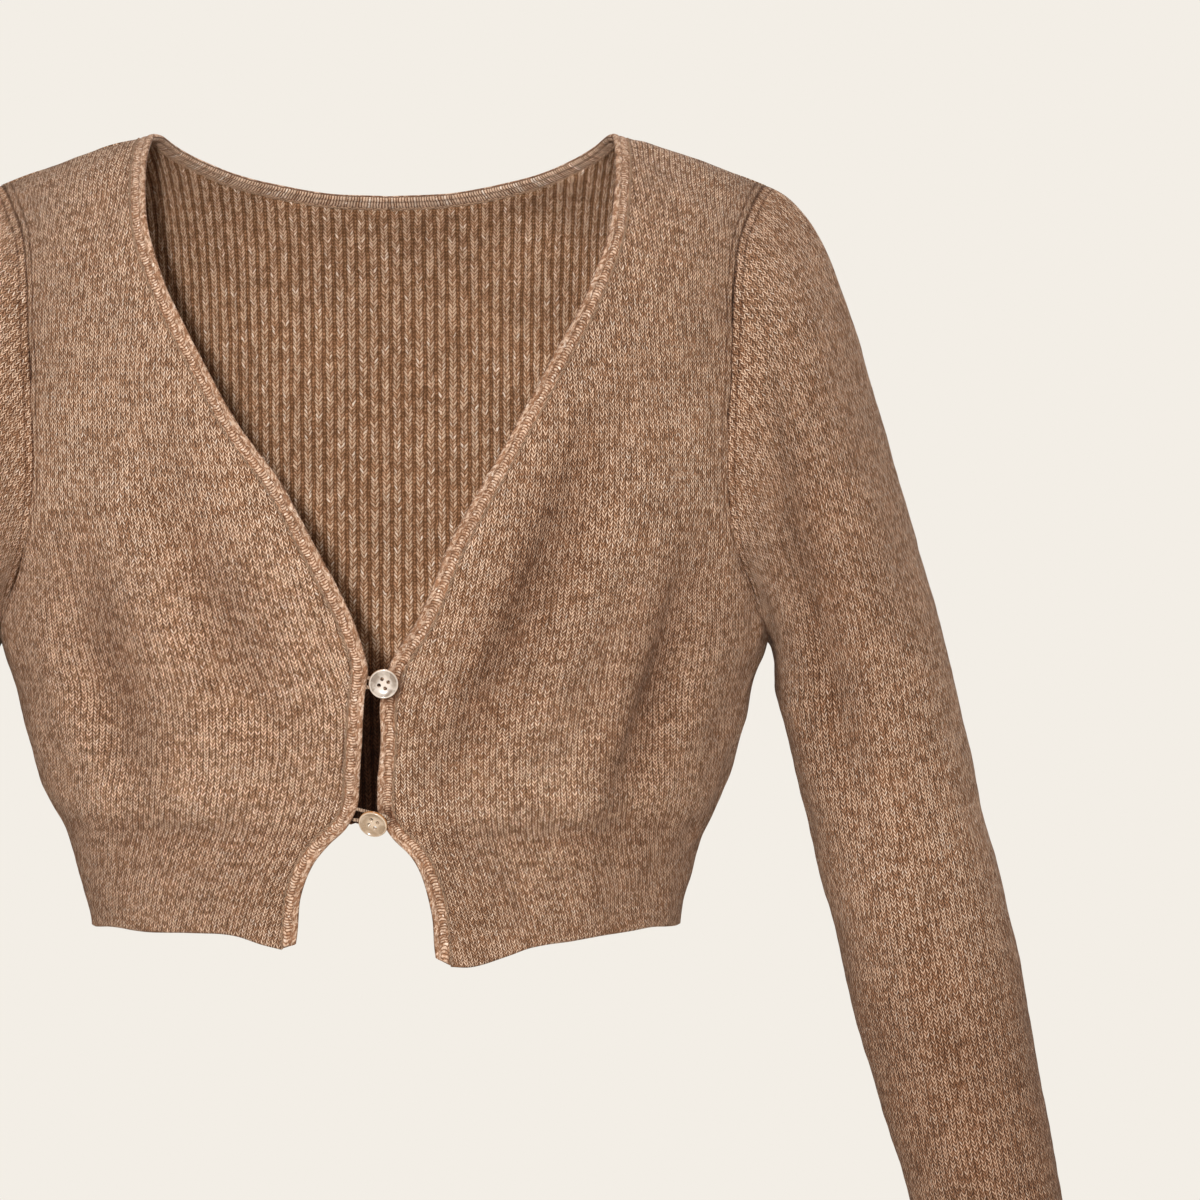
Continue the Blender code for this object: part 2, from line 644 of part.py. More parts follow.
def front_wall(name, edge, band_end, hem, folds, side, material):
    """A front: a wall bounded by the band, the hem, the side seam, the armhole and the shoulder."""
    places = front_places(edge, band_end, hem)
    middle = torso(places[..., 0], places[..., 1])
    plain = torso_frame(places)[2]
    towards_side = np.clip((math.pi / 2 - places[..., 0]) / 0.3, 0, 1)
    towards_edge = np.clip(np.arange(FRONT_COLUMNS) / 2, 0, 1)
    fade = towards_side**0.7 * towards_edge[None]
    middle, normal = folded(middle, plain, relief(middle, folds) * fade)
    normal[:, 0] = plain[:, 0]
    outer_edge, inner_edge = front_edges(edge, band_end)
    middle[:, 0] += unit(torso(*inner_edge.T) - torso(*outer_edge.T)) * SEAM_GAP / 2
    normal[-1] = unit(plain[-1] * (1, 0, 1))
    normal[:ROWS_BELOW_ARM, -1] = unit(normal[:ROWS_BELOW_ARM, -1] * (1, 0, 0.2))
    seam = armhole_seam(places[ROWS_BELOW_ARM:, -1], 1)
    normal[ROWS_BELOW_ARM:, -1] = seam.through
    middle[ROWS_BELOW_ARM:, -1] -= seam.across * SEAM_GAP / 2
    outer = middle + normal * WALL / 2
    inner = middle - normal * WALL / 2
    for face in (outer, inner):
        face[-1, :, 1] = -SEAM_GAP / 2
        face[: ROWS_BELOW_ARM + 1, -1, 1] = -SEAM_GAP / 2
        face[..., 1] = np.minimum(face[..., 1], -SEAM_GAP / 2)
    return placed(name, wall_mesh(name, mirrored(outer, side), mirrored(inner, side)), material)


def back_places():
    """The back's places, in rows from the hem to the shoulders and columns from side to side."""
    sides, shares = side_path(BACK_ARMHOLE, -1, ROWS_BACK_BELOW_ARM, ROWS_BACK_ARMHOLE)
    part = np.linspace(0, 1, RIB_COUNT + 1)
    neck = neck_edges(NECK_COLUMNS + 1)[1][::-1]
    shoulder = spaced([neck[-1], sides[-1]], np.linspace(0, 1, RIB_COUNT - NECK_COLUMNS + 1))
    top = np.concatenate([neck, shoulder[1:]])
    hem_turn = part * sides[0, 0]
    hem_x = torso(hem_turn, np.full(RIB_COUNT + 1, sides[0, 1]))[:, 0]
    hem_fall = located(hem_x, along(BACK_HEM, "z", hem_x), -1)[:, 1]
    hem_fall[-1] = sides[0, 1]
    climb = (sides[:, 1] / sides[0, 1])[:, None]
    fall = top[:, 1] + climb * (hem_fall - top[:, 1])
    leaning = (shares**COLUMN_LEAN)[:, None]
    turn = sides[:, :1] * (part * (1 - leaning) + top[:, 0] / top[-1, 0] * leaning)
    half = np.stack([turn, fall], axis=-1)
    return np.concatenate([half[:, :0:-1] * (-1, 1), half], axis=1)


def back_wall(name, material):
    """The back: raised ribs on its outer face over a plain inner one."""
    places = back_places()
    columns = places.shape[1]
    middle = torso(places[..., 0], places[..., 1])
    plain = torso_frame(places)[2]
    fade = np.clip((math.pi / 2 - np.abs(places[..., 0])) / 0.3, 0, 1) ** 0.7
    middle, normal = folded(middle, plain, relief(middle, BACK_FOLDS) * fade)
    normal[-1] = plain[-1]
    shoulder = np.abs(places[-1, :, 1]) < 1e-6
    normal[-1, shoulder] = unit(normal[-1, shoulder] * (1, 0, 1))
    outer_edge, inner_edge = neck_edges(NECK_COLUMNS + 1)
    from_band = unit(torso(*inner_edge.T) - torso(*outer_edge.T))[::-1] * SEAM_GAP / 2
    middle[-1, RIB_COUNT : RIB_COUNT + NECK_COLUMNS + 1] += from_band
    middle[-1, RIB_COUNT - NECK_COLUMNS : RIB_COUNT] += mirrored(from_band[:0:-1], -1)
    for column, side in ((0, -1), (columns - 1, 1)):
        rows = slice(0, ROWS_BACK_BELOW_ARM)
        normal[rows, column] = unit(normal[rows, column] * (1, 0, 0.2))
        seam = armhole_seam(places[ROWS_BACK_BELOW_ARM:, -1], -1)
        for k in range(SEAM_SPREAD):
            rows, beside = slice(ROWS_BACK_BELOW_ARM, None if k == 0 else -1), column - side * k
            bent = k / SEAM_SPREAD * normal[rows, beside]
            turned = (1 - k / SEAM_SPREAD) * mirrored(seam.through, side)[: len(bent)]
            normal[rows, beside] = unit(bent + turned)
        middle[ROWS_BACK_BELOW_ARM:, column] -= mirrored(seam.across, side) * SEAM_GAP / 2
    from_side = RIB_COUNT - np.abs(np.arange(columns) - RIB_COUNT)
    ribs = np.where(from_side % 2 == 1, RIB_HEIGHT, 0.0) * np.clip((from_side - 3) / 6, 0, 1)
    climbing = unit(np.gradient(middle, axis=0))
    width = np.linalg.norm(np.cross(np.gradient(middle, axis=1), climbing), axis=-1)
    ribs = ribs * np.clip(width / FLAT_RIB - 1, 0, 1)
    outer = middle + normal * (WALL / 2 + ribs[..., None])
    inner = (middle - normal * WALL / 2)[:, ::PLAIN_STEP]
    for face in (outer, inner):
        face[: ROWS_BACK_BELOW_ARM + 1, [0, -1], 1] = SEAM_GAP / 2
        face[..., 1] = np.maximum(face[..., 1], SEAM_GAP / 2)
    outer[-1, shoulder, 1] = SEAM_GAP / 2
    inner[-1, shoulder[::PLAIN_STEP], 1] = SEAM_GAP / 2
    return placed(name, wall_mesh(name, outer, inner, climbing=False), material)


def arm_seam():
    """The whole armhole as one loop, from the underarm over the shoulder tip and back down."""
    front, back = (
        armhole_seam(spaced(armhole_path(armhole, side), armhole_shares(rows)), side)
        for armhole, side, rows in (
            (FRONT_ARMHOLE, 1, ROWS_FRONT_ARMHOLE),
            (BACK_ARMHOLE, -1, ROWS_BACK_ARMHOLE),
        )
    )
    return Seam(*(np.concatenate([a[:-1], b[:0:-1]]) for a, b in zip(front, back)))


def sleeve_wall(name, side, material):
    """A sleeve: a tube from the armhole, over the cap, down the arm to the cuff."""
    points, through, across, start, angles = arm_seam()
    down = np.array([math.sin(SLEEVE_TILT), 0, -math.cos(SLEEVE_TILT)])
    first = arm_ring(0.0, angles)
    length = np.linalg.norm(first - points, axis=1)[:, None]
    away = np.array([math.cos(SLEEVE_TILT), 0, math.sin(SLEEVE_TILT)])
    drawn = -CAP_DRAW * away * (1 - np.cos(angles))[:, None] / 2
    rings = []
    for step in range(CAP_RINGS):
        t = (step / CAP_RINGS) ** CAP_CROWDING
        from_seam = (2 * t**3 - 3 * t**2 + 1) * points + (t**3 - 2 * t**2 + t) * start * length * CAP_START
        to_arm = (3 * t**2 - 2 * t**3) * first + (t**3 - t**2) * down * length * CAP_END
        halfway = 16 * t**2 * (1 - t) ** 2  # 1 halfway down the cap, 0 at its two ends
        rings.append(from_seam + to_arm + halfway * drawn)
    for distance in np.linspace(0, ARM[-1].distance, ARM_RINGS + 1):
        rings.append(arm_ring(distance, angles))
    middle = np.array(rings)
    rows = np.arange(len(rings))[:, None]
    fade = np.clip(rows / 3, 0, 1)
    normal = -grid_normals(middle, joined=True)
    front = relief(middle, SLEEVE_FRONT_FOLDS) * np.clip(-normal[..., 1] * 2, 0, 1)
    back = relief(middle, SLEEVE_BACK_FOLDS) * np.clip(normal[..., 1] * 2, 0, 1)
    middle = middle + normal * ((front + back) * fade)[..., None]
    normal = -grid_normals(middle, joined=True)
    normal[0] = through
    middle[0] = points + across * SEAM_GAP / 2
    outer = mirrored(middle + normal * WALL / 2, side)
    inner = mirrored(middle - normal * WALL / 2, side)
    return placed(name, wall_mesh(name, outer, inner, joined=True), material)


def band_half(edge, band_end):
    """The band's path on one side: points, and its width and its outward direction, hem to nape."""
    outer_front, inner_front = front_edges(edge, band_end)
    outer_neck, inner_neck = neck_edges(NECK_COLUMNS // BAND_STEP + 1)
    outer_edge = np.concatenate([outer_front, outer_neck[1:]])
    inner_edge = np.concatenate([inner_front, inner_neck[1:]])
    points = torso(*outer_edge.T)
    return points, torso(*inner_edge.T) - points, torso_frame(inner_edge)[2]


def edge_band(name, material):
    """One band: up a front edge, round the neck and down the other, with a rolled outer edge."""
    left = band_half(LEFT_EDGE, LEFT_BAND_END)
    right = band_half(RIGHT_EDGE, RIGHT_BAND_END)
    points, across, through = (
        np.concatenate([a[:-1], mirrored(b, -1)[::-1]]) for a, b in zip(left, right)
    )
    full, slim, far = BAND_HALF_THICKNESS, WALL / 2, 1 - SEAM_GAP / 2 / BAND_WIDTH
    outline = [
        (0.00, 0.0),
        (0.10, full * 0.8),
        (0.32, full),
        (0.54, slim),
        (far, slim),
        (far, -slim),
        (0.32, -full),
        (0.10, -full * 0.8),
    ]
    return placed(name, swept_mesh(name, points, across, through, outline), material)


def fastening_frame(fastening):
    """A fastening's place and its axes: right, up and out of the cloth."""
    place = located(fastening.x, fastening.z, 1)
    centre = torso(*place)
    out = torso_frame(place)[2]
    right = unit(np.array([1, 0, 0]) - out[0] * out)
    up = np.cross(out, right)
    return centre, right, up, out


def tilt(fastening):
    """How a button is turned from the cloth it lies on."""
    yaw = Matrix.Rotation(math.radians(fastening.yaw), 3, "Y")
    return yaw @ Matrix.Rotation(math.radians(fastening.pitch), 3, "X")


def button(fastening, material):
    """A four-holed button with a raised rim, on a short stem of thread."""
    name = f"button_{fastening.name}"
    shape = bmesh.new()
    angles = np.arange(BUTTON_SIDES) * 2 * math.pi / BUTTON_SIDES
    rings = [
        [shape.verts.new((row.radius * math.cos(a), row.radius * math.sin(a), row.height)) for a in angles]
        for row in BUTTON_OUTLINE
    ]
    back = shape.verts.new((0, 0, 0))
    face = shape.verts.new((0, 0, BUTTON_FACE_HEIGHT))
    for k in range(BUTTON_SIDES):
        after = (k + 1) % BUTTON_SIDES
        shape.faces.new((back, rings[0][after], rings[0][k]))
        shape.faces.new((face, rings[-1][k], rings[-1][after]))
        for low, high in zip(rings, rings[1:]):
            shape.faces.new((low[k], low[after], high[after], high[k]))
    bmesh.ops.recalc_face_normals(shape, faces=shape.faces)
    mesh = bpy.data.meshes.new(name)
    shape.to_mesh(mesh)
    shape.free()
    piece = placed(name, mesh, material, math.radians(35))
    for k in range(4):
        angle = HOLE_TURN + k * math.pi / 2
        hole = cylinder(HOLE_RADIUS, 0.006, HOLE_SIDES)
        hole.location = (HOLE_RING * math.cos(angle), HOLE_RING * math.sin(angle), 0.001)
        combine(piece, hole, "DIFFERENCE")
    raised = fastening.stem * math.sin(math.radians(-fastening.yaw))
    stem_length = fastening.lift + raised - STEM_FOOT
    stem = cylinder(STEM_RADIUS, stem_length + STEM_ROOT, 12)
    stem.location = (fastening.stem, 0, (STEM_ROOT - stem_length) / 2)
    combine(piece, stem, "UNION")
    centre, right, up, out = fastening_frame(fastening)
    frame = Matrix((right, up, out)).transposed().to_4x4()
    frame.translation = Vector(centre + out * fastening.lift)
    piece.data.transform(frame @ tilt(fastening).to_4x4())
    return piece


def cylinder(radius, height, sides):
    """A round bar along Z, centred on its own origin."""
    mesh = bpy.data.meshes.new("bar")
    shape = bmesh.new()
    bmesh.ops.create_cone(
        shape, cap_ends=True, segments=sides, radius1=radius, radius2=radius, depth=height
    )
    shape.to_mesh(mesh)
    shape.free()
    bar = bpy.data.objects.new("bar", mesh)
    bpy.context.scene.collection.objects.link(bar)
    return bar


def combine(piece, tool, operation):
    """Cuts a tool from a piece or joins it on, and takes the tool away."""
    change = piece.modifiers.new("change", "BOOLEAN")
    change.operation = operation
    change.object = tool
    bpy.context.view_layer.update()
    done = piece.evaluated_get(bpy.context.evaluated_depsgraph_get())
    mesh = bpy.data.meshes.new_from_object(done)
    piece.modifiers.clear()
    piece.data = mesh
    bpy.data.objects.remove(tool)


def button_loop(fastening, material):
    """A cord loop from the other front's edge, round the button's stem behind the button."""
    name = f"button_loop_{fastening.name}"
    centre, right, up, out = fastening_frame(fastening)
    ring = STEM_RADIUS + CORD_RADIUS + LOOP_SLACK
    above_band = BAND_HALF_THICKNESS + CORD_RADIUS + LOOP_SLACK
    turned = tilt(fastening)
    top = turned @ Vector((fastening.stem, 0, 0))
    down = turned @ Vector((0, 0, -1))
    stem_x, stem_y, _ = top + down * (fastening.lift + top.z - above_band) / -down.z
    high_x, low_x = fastening.loop_x - fastening.x, fastening.low_x - fastening.x
    Knot = namedtuple("Knot", "at x y lift")

    def strand(at, start, height, share, lift):
        """A knot part of the way from a strand's end to the stem."""
        x = start + share * (stem_x - start)
        beside = stem_y + math.copysign(ring, 4 - at)
        return Knot(at, x, height + share * (beside - height), lift * above_band)

    high, low = fastening.high_end, fastening.low_end
    route = (
        strand(0.0, high_x, high, 0.0, 0.08),
        strand(1.0, high_x, high, 0.3, 0.45),
        strand(2.0, high_x, high, 0.65, 0.80),
        strand(3.0, high_x, high, 1.0, 1.0),
        Knot(4.0, stem_x + ring, stem_y, above_band),
        strand(5.0, low_x, low, 1.0, 1.0),
        strand(6.0, low_x, low, 0.65, 0.66),
        strand(7.0, low_x, low, 0.3, 0.33),
        strand(8.0, low_x, low, 0.0, 0.08),
    )
    at = np.linspace(0, route[-1].at, LOOP_STATIONS)
    points = centre + sum(
        along(route, column, at)[:, None] * axis
        for column, axis in (("x", right), ("y", up), ("lift", out))
    )
    heading = unit(np.gradient(points, axis=0))
    sideways = unit(np.cross(heading, out))
    upward = np.cross(sideways, heading)
    angles = np.arange(CORD_SIDES) * 2 * math.pi / CORD_SIDES
    outline = [(CORD_RADIUS * math.cos(a), CORD_RADIUS * math.sin(a)) for a in angles]
    return placed(name, swept_mesh(name, points, sideways, upward, outline), material)


def build():
    """Builds every piece of the cardigan."""
    for old in list(bpy.data.objects):
        bpy.data.objects.remove(old)
    left, right = (knit_material(f"knit_front_{side}", BROWN_KNIT) for side in ("left", "right"))
    front_wall("front_left", LEFT_EDGE, LEFT_BAND_END, LEFT_HEM, LEFT_FOLDS, 1, left)
    front_wall("front_right", RIGHT_EDGE, RIGHT_BAND_END, RIGHT_HEM, RIGHT_FOLDS, -1, right)
    back_wall("back", knit_material("rib_back", BROWN_RIB))
    sleeve_wall("sleeve_left", 1, knit_material("knit_sleeve_left", BROWN_KNIT))
    sleeve_wall("sleeve_right", -1, knit_material("knit_sleeve_right", BROWN_KNIT))
    edge_band("edge_band", knit_material("knit_band", BROWN_KNIT))
    for fastening in FASTENINGS:
        pearl = knit_material(f"pearl_{fastening.name}", PEARL_CREAM)
        pearl.node_tree.nodes["Principled BSDF"].inputs["Roughness"].default_value = BUTTON_ROUGHNESS
        button(fastening, pearl)
        button_loop(fastening, knit_material(f"cord_{fastening.name}", BROWN_KNIT))


build()
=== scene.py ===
"""Looks of a cropped knit cardigan, filled out as if worn, with no wearer in it.

Everything is in metres, +Z up, the front faces -Y and the wearer's left is +X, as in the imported
model. The torso is one smooth surface of two parameters: `turn` goes round the body, from 0 at the
centre to a quarter circle at the side seam, and `fall` goes down from the shoulder line, positive on
the front and negative on the back. Fronts, back and edge band are cut from it, and the sleeves are
lofted from its armholes. Every cloth piece is a thin closed wall with a map of its stitches: the
map's U counts columns of stitches and its V counts rows.
"""

from __future__ import annotations

import logging
import math
from collections.abc import Sequence
from dataclasses import dataclass, field
from enum import Enum
from typing import NamedTuple, TypeVar

import bmesh
import bpy
import numpy as np
from mathutils import Matrix, Vector


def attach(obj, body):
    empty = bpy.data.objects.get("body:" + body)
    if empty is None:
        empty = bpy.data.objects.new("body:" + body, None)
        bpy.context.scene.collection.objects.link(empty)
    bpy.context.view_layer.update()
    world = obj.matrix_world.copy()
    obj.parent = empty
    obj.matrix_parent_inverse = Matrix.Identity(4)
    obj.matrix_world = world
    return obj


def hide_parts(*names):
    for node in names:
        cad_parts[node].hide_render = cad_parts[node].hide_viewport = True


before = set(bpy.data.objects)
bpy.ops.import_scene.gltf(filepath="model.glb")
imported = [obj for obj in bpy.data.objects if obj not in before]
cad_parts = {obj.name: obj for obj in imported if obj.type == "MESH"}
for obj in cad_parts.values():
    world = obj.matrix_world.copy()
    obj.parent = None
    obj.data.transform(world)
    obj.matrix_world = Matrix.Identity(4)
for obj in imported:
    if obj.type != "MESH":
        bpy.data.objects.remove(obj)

LOG = logging.getLogger("cardigan")
QUARTER = math.pi / 2

# ---------------------------------------------------------------- sizes of the cloth, in metres

WALL = 0.0019
SEAM_GAP = 0.0003
SEAM_REACH = 0.012  # how far a seam shows in the cloth beside it
GROOVE_WIDTH = 0.0015
SEAM_LINE = 0.0041  # distance of the seam's outer line of stitches
BAND_WIDTH = 0.0075
WALE = 0.0029  # width of one column of stitches
COURSE = 0.00206  # height of one row of stitches
WAIST_COURSE = 0.00168  # the same at the waist, which is knitted more tightly
WAIST_FALL = 0.235  # length down the front at which the waist begins
RIB_COURSE = 0.00214
RIB_COUNT = 84
RIB_HEIGHT = 0.0009
RIB_EDGE = 0.37  # half the width of a rib's V's, in ribs
BAND_COURSE = 0.00138

SQUARENESS = 2.3
NECK_POINT = 0.1107
SHOULDER_ROUNDING = 0.110
SHOULDER_SLOPE = 0.27
SHOULDER_BEND = 0.9
NECK_SOFTNESS = 0.004
UNDERARM_LEVEL = -0.2450
SHOULDER_TIP = 0.1850
SHOULDER_FADE = 0.16  # how far down the shoulder's slope is felt
CHEST_FALL = 2.6  # the chest's `fall`, where stitches are counted round the body
LOWEST_FALL = 4.4
LOWEST_LEVEL = -0.42
SIDE_STEPS = 14  # coarse steps up a front's side seam
ARMHOLE_STEPS = 12  # and round its armhole

SLEEVE_TILT = math.radians(13.5)
SLEEVE_TOP = (0.2333, 0.0, -0.2640)
SLEEVE_DOWN = np.array([math.sin(SLEEVE_TILT), 0, -math.cos(SLEEVE_TILT)])
SLEEVE_AWAY = np.array([math.cos(SLEEVE_TILT), 0, math.sin(SLEEVE_TILT)])
CAP_CROWDING = 1.25
CAP_START = 0.75
CAP_END = 0.95
CAP_FULLNESS = 0.15
CAP_SLOPE = 0.42
CAP_DRAW = 0.0088  # how far the cap's outer side is drawn in, halfway down
CAP_LEAN = 0.45  # how far the stitch columns lean away from the body at the armhole, as a slope
CAP_LEAN_REACH = 0.06

UNEVEN = 0.0006  # height of the cloth's unevenness
FINE_UNEVEN = 0.00012
ALONG_SHOULDER = (1, 0, 1)  # what is left of a normal at a seam in the plane y = 0
ALONG_SIDE = (1, 0, 0.2)

# ---------------------------------------------------------------- shade painted into the cloth's colour, mostly by folds

SHADE_OF_DEPTH = 44  # for each metre that the cloth lies deeper
SHADE_OF_SLOPE = 0.20
STEEPEST = 1.2
SHADE_OF_TROUGH = 78  # the same for the wider, softer part
TROUGH_DEPTH = 0.003  # the least depth of a fold that has one
TROUGH_SPREAD = 2.5
TROUGH_SKEW = 0.25
SHADE_LIMITS = (-0.3, 1.1)
# Painted shade over a whole front, painted light where below 0, and over a whole sleeve; and how much of the
# folds' painted shade a sleeve keeps
FRONT_SHADE = -0.06
SLEEVE_SHADE = 0.12
SLEEVE_SHARE = 0.7


class Section(NamedTuple):
    """The torso's half width and depths at one level."""

    level: float
    half_width: float
    front_depth: float
    back_depth: float


class Point(NamedTuple):
    """A point as seen from the front."""

    x: float
    z: float


class Fold(NamedTuple):
    """A soft trough or ridge: three points of its curve, how far it stands out, its half width.

    A skew above 0 makes the side towards the centre steep and the other one gentle.
    """

    x0: float
    z0: float
    x1: float
    z1: float
    x2: float
    z2: float
    height: float
    reach: float
    skew: float = 0.0


class Ring(NamedTuple):
    """The arm's section at a distance below its first whole ring."""

    distance: float
    width: float
    depth: float
    forward: float


class Shade(NamedTuple):
    """Painted shade: a part of the light taken out of the colour past one level: above it, or below if reach
    is negative.
    """

    amount: float
    level: float
    reach: float

    def at(self, points: np.ndarray) -> np.ndarray:
        """How much painted shade there is at points."""
        return self.amount * smooth((points[..., 2] - self.level) / self.reach)


class Lean(NamedTuple):
    """Lean of the stitch columns at one level, in degrees, at the front edge and at the side."""

    level: float
    edge: float
    side: float


Row = TypeVar("Row", bound=tuple)


def make_rows(kind: type[Row], *values: tuple[float, ...]) -> tuple[Row, ...]:
    """Makes one named row of each tuple of numbers."""
    return tuple(kind(*row) for row in values)


BODY = make_rows(
    Section,
    (-0.4, 0.143, 0.0965, 0.089), (-0.385, 0.143, 0.097, 0.089), (-0.36, 0.148, 0.099, 0.09),
    (-0.34, 0.154, 0.102, 0.092), (-0.32, 0.1635, 0.108, 0.096), (-0.29, 0.173, 0.116, 0.1),
    (-0.26, 0.1802, 0.1205, 0.1035), (-0.245, 0.1855, 0.1205, 0.104), (-0.2, 0.187, 0.117, 0.104),
    (-0.12, 0.187, 0.106, 0.1), (0.0, 0.187, 0.097, 0.097),
)
ARM = make_rows(
    Ring,
    (0.0, 0.084, 0.103, 0.0), (0.08, 0.083, 0.098, 0.0), (0.16, 0.0815, 0.091, 0.002),
    (0.24, 0.074, 0.08, 0.006), (0.31, 0.065, 0.069, 0.012), (0.352, 0.06, 0.064, 0.017),
)
LEFT_EDGE = make_rows(
    Point,
    (0.0268, -0.388), (0.0259, -0.38), (0.0254, -0.371), (0.0238, -0.36), (0.0205, -0.349), (0.016, -0.34),
    (0.01, -0.3325), (0.0042, -0.3265), (0.0008, -0.32), (0.0, -0.31), (0.001, -0.292), (0.0018, -0.275),
    (0.002, -0.26), (0.0065, -0.2455), (0.019, -0.2255), (0.0355, -0.187), (0.052, -0.1578),
    (0.0705, -0.1245), (0.0905, -0.0876), (0.1, -0.0695), (0.1068, -0.0535), (0.1108, -0.034),
    (0.1122, -0.014),
)
RIGHT_EDGE = make_rows(
    Point,
    (0.0394, -0.3815), (0.0383, -0.3746), (0.0378, -0.3658), (0.0365, -0.357), (0.0335, -0.3485),
    (0.029, -0.3405), (0.0232, -0.3333), (0.0172, -0.327), (0.0112, -0.3215), (0.009, -0.3113),
    (0.008, -0.296), (0.0068, -0.28), (0.0056, -0.263), (0.004, -0.249), (0.012, -0.2221),
    (0.0257, -0.1958), (0.0433, -0.1634), (0.0661, -0.1324), (0.0905, -0.0876), (0.1, -0.0695),
    (0.1068, -0.0535), (0.1108, -0.034), (0.1122, -0.014),
)
NECK_EDGE = make_rows(
    Point,
    (0.1, -0.0078), (0.0802, -0.018), (0.0554, -0.0252), (0.0306, -0.0295), (0.0, -0.0312),
)
FRONT_ARMHOLE = make_rows(
    Point,
    (0.1822, -0.2326), (0.1765, -0.2122), (0.1692, -0.1918), (0.1655, -0.163), (0.1658, -0.1345),
    (0.1672, -0.1062), (0.1683, -0.0873), (0.1695, -0.064), (0.1713, -0.05), (0.176, -0.0382),
)
BACK_ARMHOLE = make_rows(
    Point,
    (0.186, -0.234), (0.1836, -0.218), (0.1795, -0.198), (0.1738, -0.17), (0.1702, -0.135), (0.1705, -0.09),
    (0.172, -0.057), (0.1765, -0.0395),
)
LEFT_HEM = make_rows(
    Point,
    (0.034, -0.3918), (0.043, -0.3922), (0.053, -0.3898), (0.062, -0.3868), (0.071, -0.3838),
    (0.091, -0.3817), (0.112, -0.38), (0.133, -0.3798), (0.143, -0.383),
)
RIGHT_HEM = make_rows(
    Point,
    (0.0462, -0.3838), (0.055, -0.3818), (0.068, -0.378), (0.09, -0.3775), (0.112, -0.379),
    (0.133, -0.3798), (0.143, -0.383),
)
BACK_HEM = make_rows(
    Point,
    (0.0, -0.346), (0.035, -0.3475), (0.075, -0.356), (0.115, -0.371), (0.143, -0.383),
)
LEFT_FOLDS = make_rows(
    Fold,
    (0.099, -0.138, 0.075, -0.215, 0.027, -0.299, -0.0078, 0.013, 0.42),
    (0.146, -0.2, 0.134, -0.262, 0.109, -0.325, -0.0078, 0.012, 0.42),
    (0.124, -0.147, 0.105, -0.217, 0.067, -0.292, 0.0034, 0.015),
    (0.069, -0.154, 0.043, -0.2, 0.022, -0.245, 0.0022, 0.012),
    (0.16, -0.225, 0.15, -0.28, 0.13, -0.314, 0.0034, 0.012),
    (0.134, -0.06, 0.128, -0.11, 0.118, -0.15, -0.0014, 0.016),
    (0.03, -0.311, 0.085, -0.312, 0.15, -0.314, 0.0028, 0.01),
    (0.03, -0.328, 0.085, -0.33, 0.148, -0.332, -0.002, 0.006),
    (0.118, -0.19, 0.108, -0.235, 0.092, -0.285, -0.0016, 0.008),
    (0.06, -0.345, 0.066, -0.362, 0.07, -0.384, -0.0012, 0.006),
    (0.108, -0.34, 0.112, -0.358, 0.114, -0.376, -0.0009, 0.007),
)
RIGHT_FOLDS = make_rows(
    Fold,
    (0.1, -0.15, 0.079, -0.22, 0.042, -0.29, -0.0042, 0.014),
    (0.146, -0.195, 0.13, -0.255, 0.112, -0.318, -0.0054, 0.014),
    (0.126, -0.16, 0.108, -0.222, 0.074, -0.288, 0.0028, 0.015),
    (0.161, -0.23, 0.149, -0.275, 0.132, -0.312, 0.003, 0.012),
    (0.136, -0.07, 0.127, -0.115, 0.12, -0.155, -0.0012, 0.016),
    (0.036, -0.31, 0.09, -0.311, 0.15, -0.314, 0.0024, 0.01),
    (0.036, -0.327, 0.09, -0.329, 0.148, -0.332, -0.002, 0.006),
    (0.055, -0.225, 0.052, -0.25, 0.04, -0.28, -0.001, 0.007),
)
BACK_FOLDS = make_rows(
    Fold,
    (0.145, -0.17, 0.134, -0.25, 0.106, -0.33, -0.003, 0.02),
    (-0.142, -0.18, -0.13, -0.25, -0.102, -0.33, -0.0034, 0.019),
    (0.055, -0.19, 0.05, -0.255, 0.06, -0.32, -0.0018, 0.02),
    (-0.036, -0.21, -0.044, -0.265, -0.04, -0.33, -0.002, 0.02),
)
SLEEVE_FRONT_FOLDS = make_rows(
    Fold,
    (0.191, -0.112, 0.207, -0.215, 0.233, -0.335, -0.0068, 0.012, 0.4),
    (0.183, -0.17, 0.193, -0.25, 0.212, -0.33, 0.0024, 0.009),
    (0.262, -0.37, 0.27, -0.42, 0.286, -0.47, -0.002, 0.012),
    (0.25, -0.25, 0.262, -0.31, 0.268, -0.37, -0.0012, 0.013),
)
SLEEVE_BACK_FOLDS = make_rows(
    Fold,
    (0.198, -0.14, 0.211, -0.225, 0.236, -0.32, -0.0052, 0.013, 0.3),
    (0.246, -0.33, 0.262, -0.385, 0.27, -0.44, -0.0022, 0.013),
)
# Painted shade: darker upper fronts, waistband and forearms, and the back's inner face dark below the neck
# opening
CHEST_SHADE = Shade(0.16, -0.17, 0.09)
WAIST_SHADE = Shade(0.26, -0.318, -0.012)
FOREARM_SHADE = Shade(0.60, -0.33, -0.14)
BACK_SHADE = Shade(3.0, -0.258, -0.026)
# Positive where the columns run outwards on their way down
LEFT_LEAN = make_rows(
    Lean,
    (0.0, 12, 4), (-0.08, 10, 4), (-0.12, 8, 3), (-0.15, 0, 0), (-0.185, -7, -6), (-0.225, -10, -7),
    (-0.252, -12, -5), (-0.275, -7, -2), (-0.297, 0, -4), (-0.32, 5, -5), (-0.344, 19, -6), (-0.37, 19, 2),
    (-0.4, 10, 4),
)
RIGHT_LEAN = make_rows(
    Lean,
    (0.0, 12, 4), (-0.08, 8, 4), (-0.12, 2, 2), (-0.15, -8, 0), (-0.185, -14, -6), (-0.225, -15, -7),
    (-0.25, -20, -5), (-0.275, 0, -2), (-0.297, 7, -3), (-0.32, 18, -3), (-0.344, 26, 0), (-0.37, 18, 4),
    (-0.4, 10, 4),
)


# ---------------------------------------------------------------- smooth curves and grids


